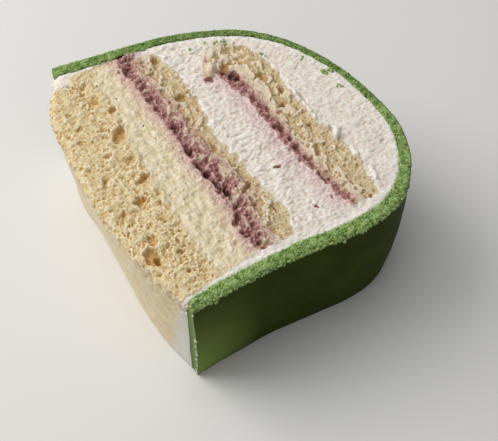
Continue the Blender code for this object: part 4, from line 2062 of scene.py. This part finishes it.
# Light shines through the layers, but would leave loose crumbs grey.
LOOSE_CRUMB = replace(SPONGE, name="loose_crumb", glow=0.0)
LAYER_FINISHES = {
    Layer.BASE_SPONGE: SPONGE,
    Layer.CUSTARD: CUSTARD,
    Layer.JAM_LOWER: JAM,
    Layer.MIDDLE_SPONGE: TORN_SPONGE,
    Layer.MIDDLE_CREAM: CREAM,
    Layer.JAM_UPPER: JAM,
    Layer.TOP_SPONGE: TORN_SPONGE,
    Layer.CREAM_COAT: CREAM,
}


@dataclass(frozen=True)
class MarzipanFinish:
    """Green marzipan, light and granular where cut; outside satin and deep green, partly its own
    colour and partly painted shade.
    """

    name: str = "green_marzipan"
    slot: Slot = Slot.MARZIPAN
    # The cut is lighter on its grains' crests and darker in the troughs between them, as painted
    # shade.
    crest: Colour = linear(162, 188, 118)
    trough_shade: Colour = linear(84, 112, 46)
    fleck: Colour = linear(192, 210, 160)
    # The cut's colours from the crown to the far side, darkened there as painted shade.
    far_shaded_crest: Colour = linear(132, 157, 90)
    far_shaded_trough: Colour = linear(66, 93, 36)
    # The outer skin: partly the marzipan's own deeper green, and partly painted shade that darkens
    # it all round.
    skin_with_shade: Colour = linear(48, 60, 1)
    skin_patch_with_shade: Colour = linear(56, 72, 4)
    # Painted bounce light, lightening the outer side towards its foot at the near end.
    painted_bounce_light: Colour = linear(138, 162, 84)
    fleck_scale: float = 1700.0
    patch_scale: float = 90.0
    roughness: float = 0.6
    gloss: float = 0.05
    bump: float = 0.2
    bump_height: float = 0.0002

    @cached_property
    def material(self) -> bpy.types.Material:
        """Makes the finish when a piece first takes it.

        Returns:
            The material.
        """
        material, nodes, shader = principled(self.name)
        fine, slow = nodes.noise(self.fleck_scale, 2.0), nodes.noise(self.patch_scale, 3.0)
        # Painted shade on the cut rim, from the crown to the far side.
        far_rim_shade = nodes.field("far_rim_shade")
        low = nodes.mix(far_rim_shade, self.trough_shade, self.far_shaded_trough)
        high = nodes.mix(far_rim_shade, self.crest, self.far_shaded_crest)
        # Painted shade between the grains, by their height.
        cut = nodes.mix(nodes.ramp(nodes.field("grain"), 0.08, 0.74), low, high)
        cut = nodes.mix(nodes.product(nodes.ramp(fine, 0.6, 0.78), 0.5), cut, self.fleck)
        # The skin's painted shade, mottled.
        tone = nodes.mix(nodes.ramp(slow, 0.3, 0.7), self.skin_with_shade, self.skin_patch_with_shade)
        # Painted bounce light near the foot of the near end.
        tone = nodes.mix(nodes.field("painted_bounce_light"), tone, self.painted_bounce_light)
        tone = nodes.mix(nodes.ramp(nodes.field("cut"), 0.15, 0.9), tone, cut)
        nodes.set(shader.inputs["Base Color"], tone)
        shader.inputs["Roughness"].default_value = self.roughness
        shader.inputs["Specular IOR Level"].default_value = self.gloss
        nodes.bump(fine, self.bump, self.bump_height, shader)
        return material


MARZIPAN = MarzipanFinish()


def dress(
    piece: bpy.types.Object, finish: FoodFinish | MarzipanFinish, *nodes: str
) -> bpy.types.Object:
    """Gives a piece its material and its place in the frame.

    Args:
        piece: the piece.
        finish: its finish.
        nodes: the solids that it stands for.

    Returns:
        The piece.
    """
    piece.data.materials.append(finish.material)
    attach(piece, "root")
    if nodes:
        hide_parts(*nodes)
    return piece


def placed(name: str, data: bpy.types.ID) -> bpy.types.Object:
    """Puts data in the scene as an object.

    Args:
        name: the object's name.
        data: its mesh, light or camera.

    Returns:
        The object.
    """
    thing = bpy.data.objects.new(name, data)
    bpy.context.scene.collection.objects.link(thing)
    return thing


def facing(thing: bpy.types.Object, place: Vector, way: Vector) -> None:
    """Puts a lamp or a camera at a place, looking this way."""
    thing.location = place
    thing.rotation_euler = way.to_track_quat("-Z", "Y").to_euler()


@dataclass(frozen=True)
class Lamp:
    """A square soft light that faces the slice."""

    name: str
    size: float
    power: float
    place: Triple
    colour: Triple
    aim: Triple = (0.0, 0.0, 0.03)

    def build(self) -> None:
        """Makes the lamp."""
        light = bpy.data.lights.new(self.name, "AREA")
        light.size = self.size
        light.energy = self.power
        light.color = self.colour
        place = Vector(self.place)
        facing(placed(self.name, light), place, Vector(self.aim) - place)


@dataclass(frozen=True)
class Studio:
    """The floor, the soft lights and the camera at the photograph's viewing angle."""

    floor_half: float = 3.0
    floor_colour: Colour = linear(232, 231, 228)
    floor_roughness: float = 0.7
    lamps: tuple[Lamp, ...] = (
        Lamp("window", 0.8, 7.9, (-0.58, 0.60, 0.75), (1.0, 0.98, 0.95)),
        Lamp("ceiling", 0.8, 3.8, (-0.2, 0.2, 1.1), (0.98, 0.99, 1.0)),
    )
    sky: float = 0.24
    look_at: Triple = (0.0035, -0.0078, 0.0)
    distance: float = 0.3468
    azimuth: float = -28.865
    elevation: float = 59.5
    lens: float = 60.4
    sensor: float = 36.0
    nearest: float = 0.01

    def build(self) -> None:
        """Makes all of it."""
        self._floor()
        for lamp in self.lamps:
            lamp.build()
        world = bpy.data.worlds.new("studio")
        world.use_nodes = True
        background = world.node_tree.nodes["Background"]
        background.inputs["Color"].default_value = (1, 1, 1, 1)
        background.inputs["Strength"].default_value = self.sky
        bpy.context.scene.world = world
        bpy.context.scene.view_settings.view_transform = "Standard"
        self._camera()

    def _floor(self) -> None:
        """A wide plain pale floor."""
        half = self.floor_half
        mesh = bpy.data.meshes.new("floor")
        corners = [(-half, -half, 0), (half, -half, 0), (half, half, 0), (-half, half, 0)]
        mesh.from_pydata(corners, [], [(0, 1, 2, 3)])
        material, _, shader = principled("floor")
        shader.inputs["Base Color"].default_value = self.floor_colour
        shader.inputs["Roughness"].default_value = self.floor_roughness
        mesh.materials.append(material)
        floor = placed("floor", mesh)

    def _camera(self) -> None:
        """The camera, where the photograph was taken from."""
        camera = bpy.data.cameras.new("camera")
        camera.lens = self.lens
        camera.sensor_width = self.sensor
        camera.clip_start = self.nearest
        turn, rise = math.radians(self.azimuth), math.radians(self.elevation)
        across, up = math.cos(rise), math.sin(rise)
        away = Vector((math.sin(turn) * across, -math.cos(turn) * across, up))
        eye = placed("camera", camera)
        facing(eye, Vector(self.look_at) + away * self.distance, -away)
        bpy.context.scene.camera = eye


def main() -> None:
    """Builds the slice, piece by piece, and its studio."""
    logging.basicConfig(level=logging.INFO, format="%(message)s")
    section = Section()
    outline = Outline(section)
    face = CutFace(section, outline)
    marzipan = Marzipan(section, outline)
    for part in (face, marzipan, Scattered(face, marzipan)):
        for piece in part.build():
            log.info("%s: %d faces", piece.name, len(piece.data.polygons))
    Studio().build()


if __name__ == "__main__":
    main()
